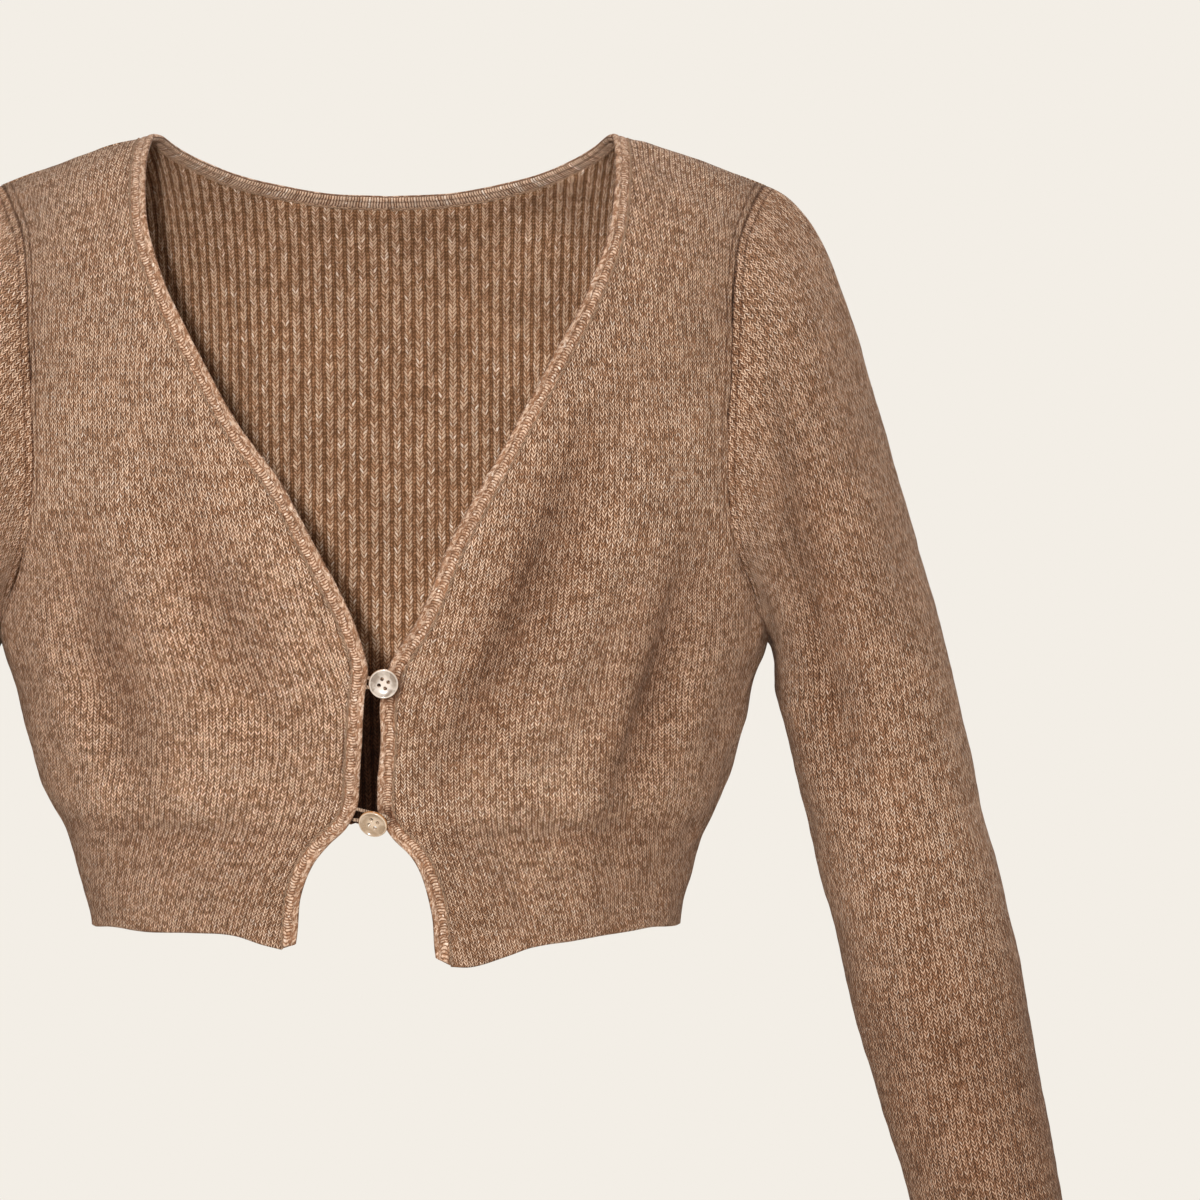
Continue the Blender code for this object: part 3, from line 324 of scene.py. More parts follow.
def cubic(knots: Sequence[float], values: Sequence[float], at: np.ndarray) -> np.ndarray:
    """Reads a curve at any place.

    Between two knots it is the cubic that has their values and, at each, the slope from the knot
    before to the knot after.

    Args:
        knots: Rising places of the known values.
        values: The values there.
        at: Places to read, held within the knots.

    Returns:
        The curve's values.
    """
    knots, values = np.asarray(knots, float), np.asarray(values, float)
    slopes = np.gradient(values, knots)
    held = np.clip(at, knots[0], knots[-1])
    left = np.clip(np.searchsorted(knots, held) - 1, 0, len(knots) - 2)
    span = knots[left + 1] - knots[left]
    part = (held - knots[left]) / span
    rest = 1 - part
    start = (1 + 2 * part) * rest**2 * values[left] + part * rest**2 * span * slopes[left]
    end = part**2 * (3 - 2 * part) * values[left + 1]
    return start + end - part**2 * rest * span * slopes[left + 1]


def along(table: Sequence[NamedTuple], column: str, at: np.ndarray) -> np.ndarray:
    """Reads one column of a table of named rows as a smooth curve over its first column."""
    rows = sorted((row[0], getattr(row, column)) for row in table)
    return cubic([row[0] for row in rows], [row[1] for row in rows], at)


def unit(vectors: np.ndarray) -> np.ndarray:
    """Scales vectors to length 1: each one divided by its own length."""
    return vectors / np.maximum(np.linalg.norm(vectors, axis=-1, keepdims=True), 1e-12)


def smooth(part: np.ndarray) -> np.ndarray:
    """Eases a share from 0 to 1: three times its square less twice its cube, once it is clipped."""
    held = np.clip(part, 0, 1)
    return held**2 * (3 - 2 * held)


def refined(rows: np.ndarray, count: int) -> np.ndarray:
    """Reads rows of values at more places, each column a cubic over the row numbers.

    Args:
        rows: Rows of values of any shape.
        count: How many places to read, evenly spread.

    Returns:
        The values there.
    """
    at = np.linspace(0, len(rows) - 1, count)
    flat = rows.reshape(len(rows), -1)
    columns = [cubic(np.arange(len(rows)), flat[:, k], at) for k in range(flat.shape[1])]
    return np.stack(columns, axis=-1).reshape(count, *rows.shape[1:])


def arc(points: np.ndarray, axis: int = 0) -> np.ndarray:
    """Length along lines of points: the running sum of the steps between them, from 0.

    Args:
        points: Points, with their coordinates last.
        axis: The axis that the lines run along.

    Returns:
        The length at each point.
    """
    steps = np.linalg.norm(np.diff(points, axis=axis), axis=-1)
    start = np.zeros_like(np.take(steps, [0], axis=axis))
    return np.concatenate([start, np.cumsum(steps, axis=axis)], axis=axis)


def grid_normals(points: np.ndarray, joined: bool = False) -> np.ndarray:
    """Normals of a grid: the cross product of its steps across and its steps up.

    Args:
        points: Grid of points.
        joined: True if the last column meets the first.

    Returns:
        A unit vector for each point.
    """
    if joined:
        padded = np.concatenate([points[:, -1:], points, points[:, :1]], axis=1)
        across = np.gradient(padded, axis=1)[:, 1:-1]
    else:
        across = np.gradient(points, axis=1)
    return unit(np.cross(across, np.gradient(points, axis=0)))


def relief(points: np.ndarray, folds: Sequence[Fold]) -> np.ndarray:
    """How far folds move points.

    For each fold it is the fold's height, times the bell curve of the distance to its line over
    its reach, times a fade towards its two ends; the folds add up. The reach is longer by the
    fold's skew on the outer side of the line, and shorter on the inner side.

    Args:
        points: Grid of points.
        folds: The folds.

    Returns:
        The distance out of the cloth for each point.
    """
    part = np.linspace(0, 1, 33)
    share = part[:, None]
    fade = np.sin(math.pi * (0.08 + 0.84 * part))
    moved = np.zeros(points.shape[:-1])
    for fold in folds:
        first, middle, last = np.array(fold[:2]), np.array(fold[2:4]), np.array(fold[4:6])
        line = first * (1 - share) ** 2 + 2 * middle * share * (1 - share) + last * share**2
        heading = unit(np.gradient(line, axis=0))
        away = points[..., None, [0, 2]] - line
        outwards = (away[..., 1] * heading[:, 0] - away[..., 0] * heading[:, 1]) / fold.reach
        reach = fold.reach * (1 + fold.skew * np.tanh(3 * outwards))
        near = np.exp(-np.sum(away**2, axis=-1) / reach**2)
        moved += fold.height * np.max(near * fade, axis=-1)
    return moved


def painted_fold_shade(points: np.ndarray, moved: np.ndarray, folds: Sequence[Fold]) -> np.ndarray:
    """Painted shade of folds: less than 0, painted light, on a ridge, and about 1 in a deep trough.

    It grows with how deep the cloth lies, and with how steeply it falls away from the centre: the
    light comes from there, so that a trough's wall on that side is the darkest. A wider and softer
    part is added for the deep troughs, which are read again with a longer reach.

    Args:
        points: Grid of points.
        moved: How far folds move them.
        folds: The folds.

    Returns:
        The painted shade at each point, as a share of the light taken out.
    """
    outwards = np.gradient(moved, axis=1) / np.maximum(np.abs(np.gradient(points[..., 0], axis=1)), 3e-4)
    towards = np.sign(np.gradient(points[..., 0], axis=1))
    troughs = [fold for fold in folds if fold.height < -TROUGH_DEPTH]
    wide = [fold._replace(reach=fold.reach * TROUGH_SPREAD, skew=TROUGH_SKEW) for fold in troughs]
    slope = np.clip(outwards * towards, -STEEPEST, STEEPEST)
    near = -SHADE_OF_DEPTH * moved - SHADE_OF_SLOPE * slope
    return np.clip(near - SHADE_OF_TROUGH * relief(points, wide), *SHADE_LIMITS)


def ripple(points: np.ndarray, size: float, seed: int, waves: int = 14) -> np.ndarray:
    """A soft uneven field: the sum of plane waves of mixed directions and lengths.

    Args:
        points: Points to read it at.
        size: The waves' usual length.
        seed: Seed of the random draws.
        waves: How many waves there are.

    Returns:
        A value for each point, mostly between -1 and 1.
    """
    random = np.random.default_rng(seed)
    directions = unit(random.normal(size=(waves, 3))) * 2 * math.pi
    lengths = size * random.uniform(0.6, 1.8, waves)
    phases = random.uniform(0, 2 * math.pi, waves)
    return np.sin(points @ (directions / lengths[:, None]).T + phases).sum(-1) / math.sqrt(waves)


def quads(rows: int, columns: int, joined: bool = True) -> np.ndarray:
    """Faces of a grid of points numbered row by row: each takes two points of a row and of the next.

    Args:
        rows: How many rows of points there are.
        columns: How many points a row has.
        joined: True if each row's last point meets its first.

    Returns:
        Four point numbers for each face.
    """
    number = np.arange(rows * columns).reshape(rows, columns)
    if joined:
        number = np.concatenate([number, number[:, :1]], axis=1)
    corners = [number[:-1, :-1], number[:-1, 1:], number[1:, 1:], number[1:, :-1]]
    return np.stack(corners, axis=-1).reshape(-1, 4)


def read_path(path: np.ndarray, length: np.ndarray, at: np.ndarray) -> np.ndarray:
    """Reads a path of places at lengths along it: a cubic for `turn` and one for `fall`."""
    return np.stack([cubic(length, path[:, k], at) for k in (0, 1)], axis=-1)


def mirrored(points: np.ndarray, side: int) -> np.ndarray:
    """Points on the wearer's left (side 1), or their mirror image on the right (side -1)."""
    return points * np.array([side, 1, 1])


# ---------------------------------------------------------------- the torso's surface


class Torso:
    """The torso's middle surface and the lines that the panels are cut along."""

    @staticmethod
    def drop(x: np.ndarray) -> np.ndarray:
        """Height of the shoulder line: a slope that steepens beyond the neck point.

        Args:
            x: Distances from the centre line.

        Returns:
            The height at each, 0 or less.
        """
        beyond = np.abs(x) - NECK_POINT
        beyond = (beyond + np.sqrt(beyond**2 + NECK_SOFTNESS**2)) / 2
        return -SHOULDER_SLOPE * beyond - SHOULDER_BEND * beyond**2

    @staticmethod
    def share(level: np.ndarray) -> np.ndarray:
        """How much of the shoulder's slope is left at a level."""
        return smooth(1 + level / SHOULDER_FADE)

    @classmethod
    def point(cls, turn: np.ndarray, fall: np.ndarray) -> np.ndarray:
        """Points of the surface.

        A section is a rounded oblong: its x and y are the half width and depth times the sine and
        cosine of `turn`, stretched to the curve whose exponent is SQUARENESS. Its depth grows with
        the sine of `fall` until that reaches a quarter circle, and from there it goes straight down.

        Args:
            turn: Way round the body.
            fall: Way down from the shoulder line.

        Returns:
            The points.
        """
        steep = np.abs(fall)
        level = -SHOULDER_ROUNDING * np.where(steep < QUARTER, 1 - np.cos(steep), 1 + steep - QUARTER)
        front = along(BODY, "front_depth", level)
        back = along(BODY, "back_depth", level)
        depth = np.where(fall > 0, front, back) * np.sin(np.minimum(steep, QUARTER)) * np.sign(fall)
        power = np.abs(np.sin(turn)) ** SQUARENESS + np.abs(np.cos(turn)) ** SQUARENESS
        stretch = power ** (-1 / SQUARENESS)
        x = along(BODY, "half_width", level) * stretch * np.sin(turn)
        return np.stack([x, -depth * stretch * np.cos(turn), level + cls.drop(x) * cls.share(level)], axis=-1)

    @classmethod
    def at(cls, places: np.ndarray) -> np.ndarray:
        """Points at places, which are pairs of `turn` and `fall`."""
        return cls.point(places[..., 0], places[..., 1])

    @classmethod
    def located(cls, x: np.ndarray, z: np.ndarray, side: int) -> np.ndarray:
        """Places of points seen from the front (side 1) or the back (side -1).

        The level is found by taking the shoulder's drop off the height again and again, and the
        turn from the share of the half width that the point has.

        Args:
            x: Distances from the centre line.
            z: Heights.
            side: 1 at the front, -1 at the back.

        Returns:
            Pairs of `turn` and `fall`.
        """
        x, z = np.asarray(x, float), np.asarray(z, float)
        level = np.array(z)
        for _ in range(40):
            level = np.minimum(z - cls.drop(x) * cls.share(level), 0)
        share = -level / SHOULDER_ROUNDING
        fall = np.where(share < 1, np.arccos(np.clip(1 - share, 0, 1)), share - 1 + QUARTER)
        across = np.clip(x / along(BODY, "half_width", level), -1, 1)
        rest = (1 - np.abs(across) ** SQUARENESS) ** (1 / SQUARENESS)
        return np.stack([np.arctan2(across, rest), side * fall], axis=-1)

    @classmethod
    def frame(cls, places: np.ndarray) -> tuple[np.ndarray, np.ndarray, np.ndarray]:
        """Tangents round and down, and the outward normal: their cross product.

        Args:
            places: Pairs of `turn` and `fall`.

        Returns:
            The three vectors at each place.
        """
        step = 1e-4
        turn, fall = places[..., 0], places[..., 1]
        around = (cls.point(turn + step, fall) - cls.point(turn - step, fall)) / (2 * step)
        down = (cls.point(turn, fall + step) - cls.point(turn, fall - step)) / (2 * step)
        return around, down, unit(np.cross(down, around))

    @classmethod
    def spaced(cls, places: np.ndarray, shares: np.ndarray) -> np.ndarray:
        """Places at shares of a path's length, on a smooth curve through its own places.

        Args:
            places: The path's own places.
            shares: Shares of its length.

        Returns:
            The places there.
        """
        places = np.asarray(places)
        knots = arc(cls.at(places))
        fine = np.linspace(0, knots[-1], 1200)
        dense = read_path(places, knots, fine)
        length = arc(cls.at(dense))
        wanted = np.asarray(shares) * length[-1]
        return np.stack([np.interp(wanted, length, dense[:, k]) for k in (0, 1)], axis=-1)

    @classmethod
    def inset(cls, places: np.ndarray, distance: float) -> np.ndarray:
        """Places moved across the surface to the left of a path, by solving for turn and fall.

        Args:
            places: The path's places.
            distance: How far they move.

        Returns:
            The moved places.
        """
        around, down, normal = cls.frame(places)
        aside = np.cross(unit(np.gradient(cls.at(places), axis=0)), normal)
        turn = np.sum(aside * around, axis=-1) / np.sum(around**2, axis=-1)
        skew = np.sum(around * down, axis=-1) / np.sum(around**2, axis=-1)
        upright = down - skew[:, None] * around
        fall = np.sum(aside * upright, axis=-1) / np.sum(upright**2, axis=-1)
        return places + distance * np.stack([turn - skew * fall, fall], axis=-1)

    @classmethod
    def armhole(cls, armhole: Sequence[Point], side: int) -> np.ndarray:
        """Places on an armhole, from the underarm to the shoulder tip.

        Args:
            armhole: Its points.
            side: 1 at the front, -1 at the back.

        Returns:
            The places.
        """
        underarm = cls.located(1.0, UNDERARM_LEVEL, side)
        tip = (cls.located(SHOULDER_TIP, cls.drop(SHOULDER_TIP), side)[0], 0.0)
        return np.array([underarm, *(cls.located(*point, side) for point in armhole), tip])

    @classmethod
    def flank(
        cls, armhole: Sequence[Point], side: int, below: int, above: int, crowding: float
    ) -> np.ndarray:
        """Places up the side seam and round the armhole.

        Args:
            armhole: The armhole's points.
            side: 1 at the front, -1 at the back.
            below: Steps up the side seam.
            above: Steps round the armhole.
            crowding: More than 1 makes the steps closer together at the hem.

        Returns:
            The places, from the hem to the shoulder tip.
        """
        crowded = np.linspace(0, 1, below + 1) ** crowding
        hem_fall = cls.located(1.0, LEFT_HEM[-1].z, side)[1]
        path = cls.armhole(armhole, side)
        lower_fall = hem_fall + crowded * (path[0, 1] - hem_fall)
        lower = np.stack([np.full(below + 1, QUARTER), lower_fall], axis=-1)
        return np.concatenate([lower, cls.spaced(path, rounds(above))[1:]])

    @classmethod
    def hem_falls(cls, hem: Sequence[Point], x: np.ndarray, side: int) -> np.ndarray:
        """The `fall` of a hem at each x."""
        return cls.located(x, along(hem, "z", x), side)[:, 1]

    @classmethod
    def round_chest(cls, side: int) -> tuple[np.ndarray, np.ndarray]:
        """Turns from the centre to the side seam, and the length round the chest to each."""
        turns = np.linspace(0, QUARTER, 200)
        return turns, arc(cls.point(turns, np.full(200, side * CHEST_FALL)))

    @classmethod
    def down_body(cls, turn: float, side: int) -> tuple[np.ndarray, np.ndarray]:
        """Falls from the shoulder down, without their sign, and the length down the body to each."""
        falls = np.linspace(0, LOWEST_FALL, 400)
        return falls, arc(cls.point(np.full(400, turn), side * falls))

    @staticmethod
    def fold_share(turn: np.ndarray) -> np.ndarray:
        """How much of a fold is left at a turn: all of it, until it fades at the side seam."""
        return np.clip((QUARTER - np.abs(turn)) / 0.3, 0, 1) ** 0.7


def rounds(rows: int) -> np.ndarray:
    """Shares of an armhole's length at its rows, which are closer together towards its ends."""
    even = np.linspace(0, 1, rows + 1)
    return even - 0.08 * np.sin(2 * math.pi * even)


@dataclass(frozen=True)
class FrontForm:
    """Where one front lies and what shape its edges have.

    Attributes:
        name: The front's name.
        side: 1 on the wearer's left, -1 on the right.
        edge: Its outer edge, hem corner to neck, as on the left.
        band_end: The inner corner of the band's lower end.
        hem: Its hem, from the band to the side seam.
        folds: Its folds.
        lean: The lean of its stitch columns.
    """

    name: str
    side: int
    edge: tuple[Point, ...]
    band_end: Point
    hem: tuple[Point, ...]
    folds: tuple[Fold, ...]
    lean: tuple[Lean, ...]

    @staticmethod
    def sides() -> np.ndarray:
        """Coarse places up the side seam and round the armhole."""
        return Torso.flank(FRONT_ARMHOLE, 1, SIDE_STEPS, ARMHOLE_STEPS, 1.3)

    @staticmethod
    def below(rows: int) -> int:
        """How many of a fine grid's rows end on the side seam."""
        return (SIDE_STEPS + 1) * rows // (SIDE_STEPS + 1 + ARMHOLE_STEPS)

    def edges(self) -> tuple[np.ndarray, np.ndarray]:
        """Coarse places on the band's outer edge and on the seam that joins it to the front.

        Returns:
            The outer edge's places and the seam's, from hem to neck.
        """
        turn = Torso.located(NECK_POINT, Torso.drop(NECK_POINT), 1)[0]
        path = np.array([*(Torso.located(*point, 1) for point in self.edge), (turn, 0.0)])
        climbed = arc(Torso.at(self.sides()))
        outer = Torso.spaced(path, climbed / climbed[-1])
        inner = Torso.inset(outer, BAND_WIDTH)
        inner[0] = Torso.located(*self.band_end, 1)
        inner[-1, 1] = 0.0
        return outer, inner

    def places(self, rows: int, columns: int) -> np.ndarray:
        """A fine grid of places, in rows from hem to shoulder and columns from edge to side.

        Args:
            rows: How many rows it has.
            columns: How many columns it has.

        Returns:
            The places.
        """
        ends = np.stack([self.edges()[1], self.sides()], axis=1)
        part = np.linspace(0, 1, columns)[None, :, None]
        lower = refined(ends[: SIDE_STEPS + 1], self.below(rows))
        upper = refined(ends[SIDE_STEPS:], rows - self.below(rows) + 1)
        ends = np.concatenate([lower, upper[1:]])
        places = ends[:, :1] * (1 - part) + ends[:, 1:] * part
        hem_x = Torso.at(places[0])[:, 0]
        correction = Torso.hem_falls(self.hem, hem_x, 1) - places[0, :, 1]
        correction[0] = correction[-1] = 0.0
        length = arc(Torso.at(ends[:, 1]))
        climb = (1 - length / length[-1])[:, None]
        places[..., 1] += correction[None] * climb**6
        return places


LEFT_FRONT = FrontForm(
    "knit_front_left", 1, LEFT_EDGE, Point(0.0340, -0.3918), LEFT_HEM, LEFT_FOLDS, LEFT_LEAN
)
RIGHT_FRONT = FrontForm(
    "knit_front_right", -1, RIGHT_EDGE, Point(0.0462, -0.3838), RIGHT_HEM, RIGHT_FOLDS, RIGHT_LEAN
)


def neck_lines(count: int) -> tuple[np.ndarray, np.ndarray]:
    """Places on the back neck's outer edge and seam, from the shoulder to the centre.

    Args:
        count: How many places each line has.

    Returns:
        The places on the outer edge, and those on the seam.
    """
    start = np.array([Torso.located(NECK_POINT, Torso.drop(NECK_POINT), 1)[0], 0.0])
    path = np.array([start, *(Torso.located(*point, -1) for point in NECK_EDGE)])
    outer = Torso.spaced(path, np.linspace(0, 1, count))
    inner = Torso.inset(Torso.spaced(path, np.linspace(0, 1, 80)), BAND_WIDTH)
    inner[0, 1] = 0.0
    inner[-1, 0] = 0.0
    return outer, Torso.spaced(inner, np.linspace(0, 1, count))


# ---------------------------------------------------------------- meshes


class Rim(Enum):
    """How a wall ends."""

    SEAM = 0.0  # flat, beside another piece
    ROUND = 1.0  # a free edge, rounded


@dataclass
class Wall:
    """A thin closed wall of cloth between two grids of points.

    Attributes:
        name: The piece's name.
        outer: Grid of points on the outer face.
        inner: Grid of points on the inner face.
        stitches: Stitch columns and rows, in pairs, at the grid's points.
        seam: Distance from the grid's points to the armhole's seam.
        painted_shade: Shade painted into the outer face's colour, in folds, under the buttons and over wider
            parts, as a share of the light.
        within: Shade painted into the inner face's colour, as a share of the light.
        joined: True if the last column meets the first, as on a tube.
        low: How its first row ends.
        high: How its last row ends.
    """

    name: str
    outer: np.ndarray
    inner: np.ndarray
    stitches: np.ndarray
    seam: np.ndarray
    painted_shade: np.ndarray
    within: np.ndarray | float = 0.0
    joined: bool = False
    low: Rim = Rim.ROUND
    high: Rim = Rim.SEAM

    def build(self, material: bpy.types.Material) -> bpy.types.Object:
        """Makes the wall.

        The outer grid is followed by a row round each free end, then by the inner grid backwards,
        so that one grid of rows runs all round the wall's section, and strips close its sides.

        Args:
            material: Its finish.

        Returns:
            The wall.
        """
        thickness = np.linalg.norm(self.outer - self.inner, axis=-1, keepdims=True)
        middle = (self.outer + self.inner) / 2

        def cap(row: int, beside: int, rim: Rim) -> tuple[np.ndarray, np.ndarray]:
            """A row of points beyond a row of the grid, and its stitch places."""
            away = unit(middle[row] - middle[beside]) * thickness[row] * 0.4 * rim.value
            return middle[row] + away, self.stitches[row]

        low, low_uv = cap(0, 1, self.low)
        high, high_uv = cap(-1, -2, self.high)
        rows = np.concatenate([self.outer, high[None], self.inner[::-1], low[None]])
        maps = np.concatenate([self.stitches, high_uv[None], self.stitches[::-1], low_uv[None]])
        count, columns = rows.shape[:2]
        number = np.arange(count * columns).reshape(count, columns)
        faces = quads(count + 1, columns, self.joined) % number.size
        tips = []
        if not self.joined:
            half = len(self.outer)
            front, back = number[:half], number[half + 1 : 2 * half + 1][::-1]
            for k, turned in ((0, False), (-1, True)):
                strip = np.stack([front[:-1, k], front[1:, k], back[1:, k], back[:-1, k]], axis=-1)
                faces = np.concatenate([faces, strip[:, ::-1] if turned else strip])
            ends = [(-1, 0, 2 * half), (0, -1, 2 * half)]
            ends += [(half, half + 1, half - 1), (half + 1, half, half - 1)]
            tips = [number[list(three), k].tolist() for three, k in zip(ends, (0, -1, 0, -1))]
        uv = maps.reshape(-1, 2)
        loops = uv[faces.ravel()].reshape(-1, 4, 2)
        if self.joined:
            wrapped = np.zeros((count, columns), bool)
            wrapped[:, -1] = True
            period = maps[:, -1, 0] - maps[:, 0, 0] + (maps[:, 1, 0] - maps[:, 0, 0])
            shift = np.zeros((count, columns, 4))
            for k, row in ((1, 0), (2, 1)):
                shift[..., k] = wrapped * np.roll(period, -row)[:, None]
            loops[..., 0] += shift.reshape(-1, 4)
        flat = np.concatenate([loops.reshape(-1, 2), *(uv[face] for face in tips)])
        piece = solid(self.name, rows.reshape(-1, 3), faces.tolist() + tips, flat, material)
        near = np.maximum(SEAM_REACH - self.seam, 0)
        within = np.broadcast_to(self.within, self.painted_shade.shape)[::-1]
        # For the finish: nearness to a seam, for its groove's painted shade and relief, and the painted shade
        # at each point
        mark(piece, "seam", np.concatenate([near, near[-1:], near[::-1], near[:1]]))
        mark(piece, "painted_shade", np.concatenate([self.painted_shade, self.painted_shade[-1:], within, self.painted_shade[:1]]))
        return piece


def solid(
    name: str, points: np.ndarray, faces: list[list[int]], stitches: np.ndarray, material: bpy.types.Material
) -> bpy.types.Object:
    """Makes a smooth-shaded object.

    Args:
        name: The piece's name.
        points: Its points.
        faces: Lists of point numbers.
        stitches: A stitch place for each point, or else one for each face's corner.
        material: Its finish.

    Returns:
        The object.
    """
    mesh = bpy.data.meshes.new(name)
    mesh.from_pydata(points.tolist(), [], faces)
    if len(stitches) == len(points):
        stitches = stitches[np.concatenate(faces)]
    layer = mesh.uv_layers.new(name="stitches")
    layer.uv.foreach_set("vector", stitches.astype(np.float32).ravel())
    mesh.materials.append(material)
    mesh.shade_smooth()
    mesh.update()
    piece = bpy.data.objects.new(name, mesh)
    bpy.context.scene.collection.objects.link(piece)
    return piece


def mark(piece: bpy.types.Object, name: str, values: np.ndarray) -> None:
    """Gives an object's points a number each, which its finish reads by name."""
    layer = piece.data.attributes.new(name, "FLOAT", "POINT")
    layer.data.foreach_set("value", values.astype(np.float32).ravel())


def tube(
    name: str,
    lines: np.ndarray,
    sideways: np.ndarray,
    upward: np.ndarray,
    outline: np.ndarray,
    stitches: np.ndarray,
    material: bpy.types.Material,
) -> bpy.types.Object:
    """A closed rod: an outline of sizes sideways and upward, carried along a line of points.

    Args:
        name: The piece's name.
        lines: Points of the line.
        sideways: A vector for the outline's first size at each point.
        upward: A vector for its second size.
        outline: Pairs of sizes, for each point of the line.
        stitches: Stitch places of the same shape as the outline.
        material: Its finish.

    Returns:
        The rod.
    """
    grid = lines[:, None] + sideways[:, None] * outline[..., :1] + upward[:, None] * outline[..., 1:]
    stations, sides = grid.shape[:2]
    first = np.arange(sides)[::-1]
    last = (stations - 1) * sides + np.arange(sides)
    faces = [*quads(stations, sides).tolist(), first.tolist(), last.tolist()]
    return solid(name, grid.reshape(-1, 3), faces, stitches.reshape(-1, 2), material)


# ---------------------------------------------------------------- finishes


class Signal:
    """A number inside a material. Sums, products and powers of signals add Math nodes."""

    def __init__(self, graph: Graph, socket: bpy.types.NodeSocket) -> None:
        """The number that a graph's socket gives."""
        self.graph = graph
        self.socket = socket

    def __add__(self, other: Value) -> Signal:
        """The sum with another."""
        return self.graph.math("ADD", self, other)

    def __sub__(self, other: Value) -> Signal:
        """This less another."""
        return self.graph.math("SUBTRACT", self, other)

    def __rsub__(self, other: float) -> Signal:
        """A number less this."""
        return self.graph.math("SUBTRACT", other, self)

    def __mul__(self, other: Value) -> Signal:
        """The product with another."""
        return self.graph.math("MULTIPLY", self, other)

    def __truediv__(self, other: Value) -> Signal:
        """This over another."""
        return self.graph.math("DIVIDE", self, other)

    def __pow__(self, other: Value) -> Signal:
        """This to a power."""
        return self.graph.math("POWER", self, other)

    def __rpow__(self, other: float) -> Signal:
        """A number to this power."""
        return self.graph.math("POWER", other, self)

    def __abs__(self) -> Signal:
        """Its distance from 0."""
        return self.graph.math("ABSOLUTE", self)


Socket = bpy.types.NodeSocket
Value = Signal | float
Colour = tuple[float, float, float, float]
Paint = Socket | Colour


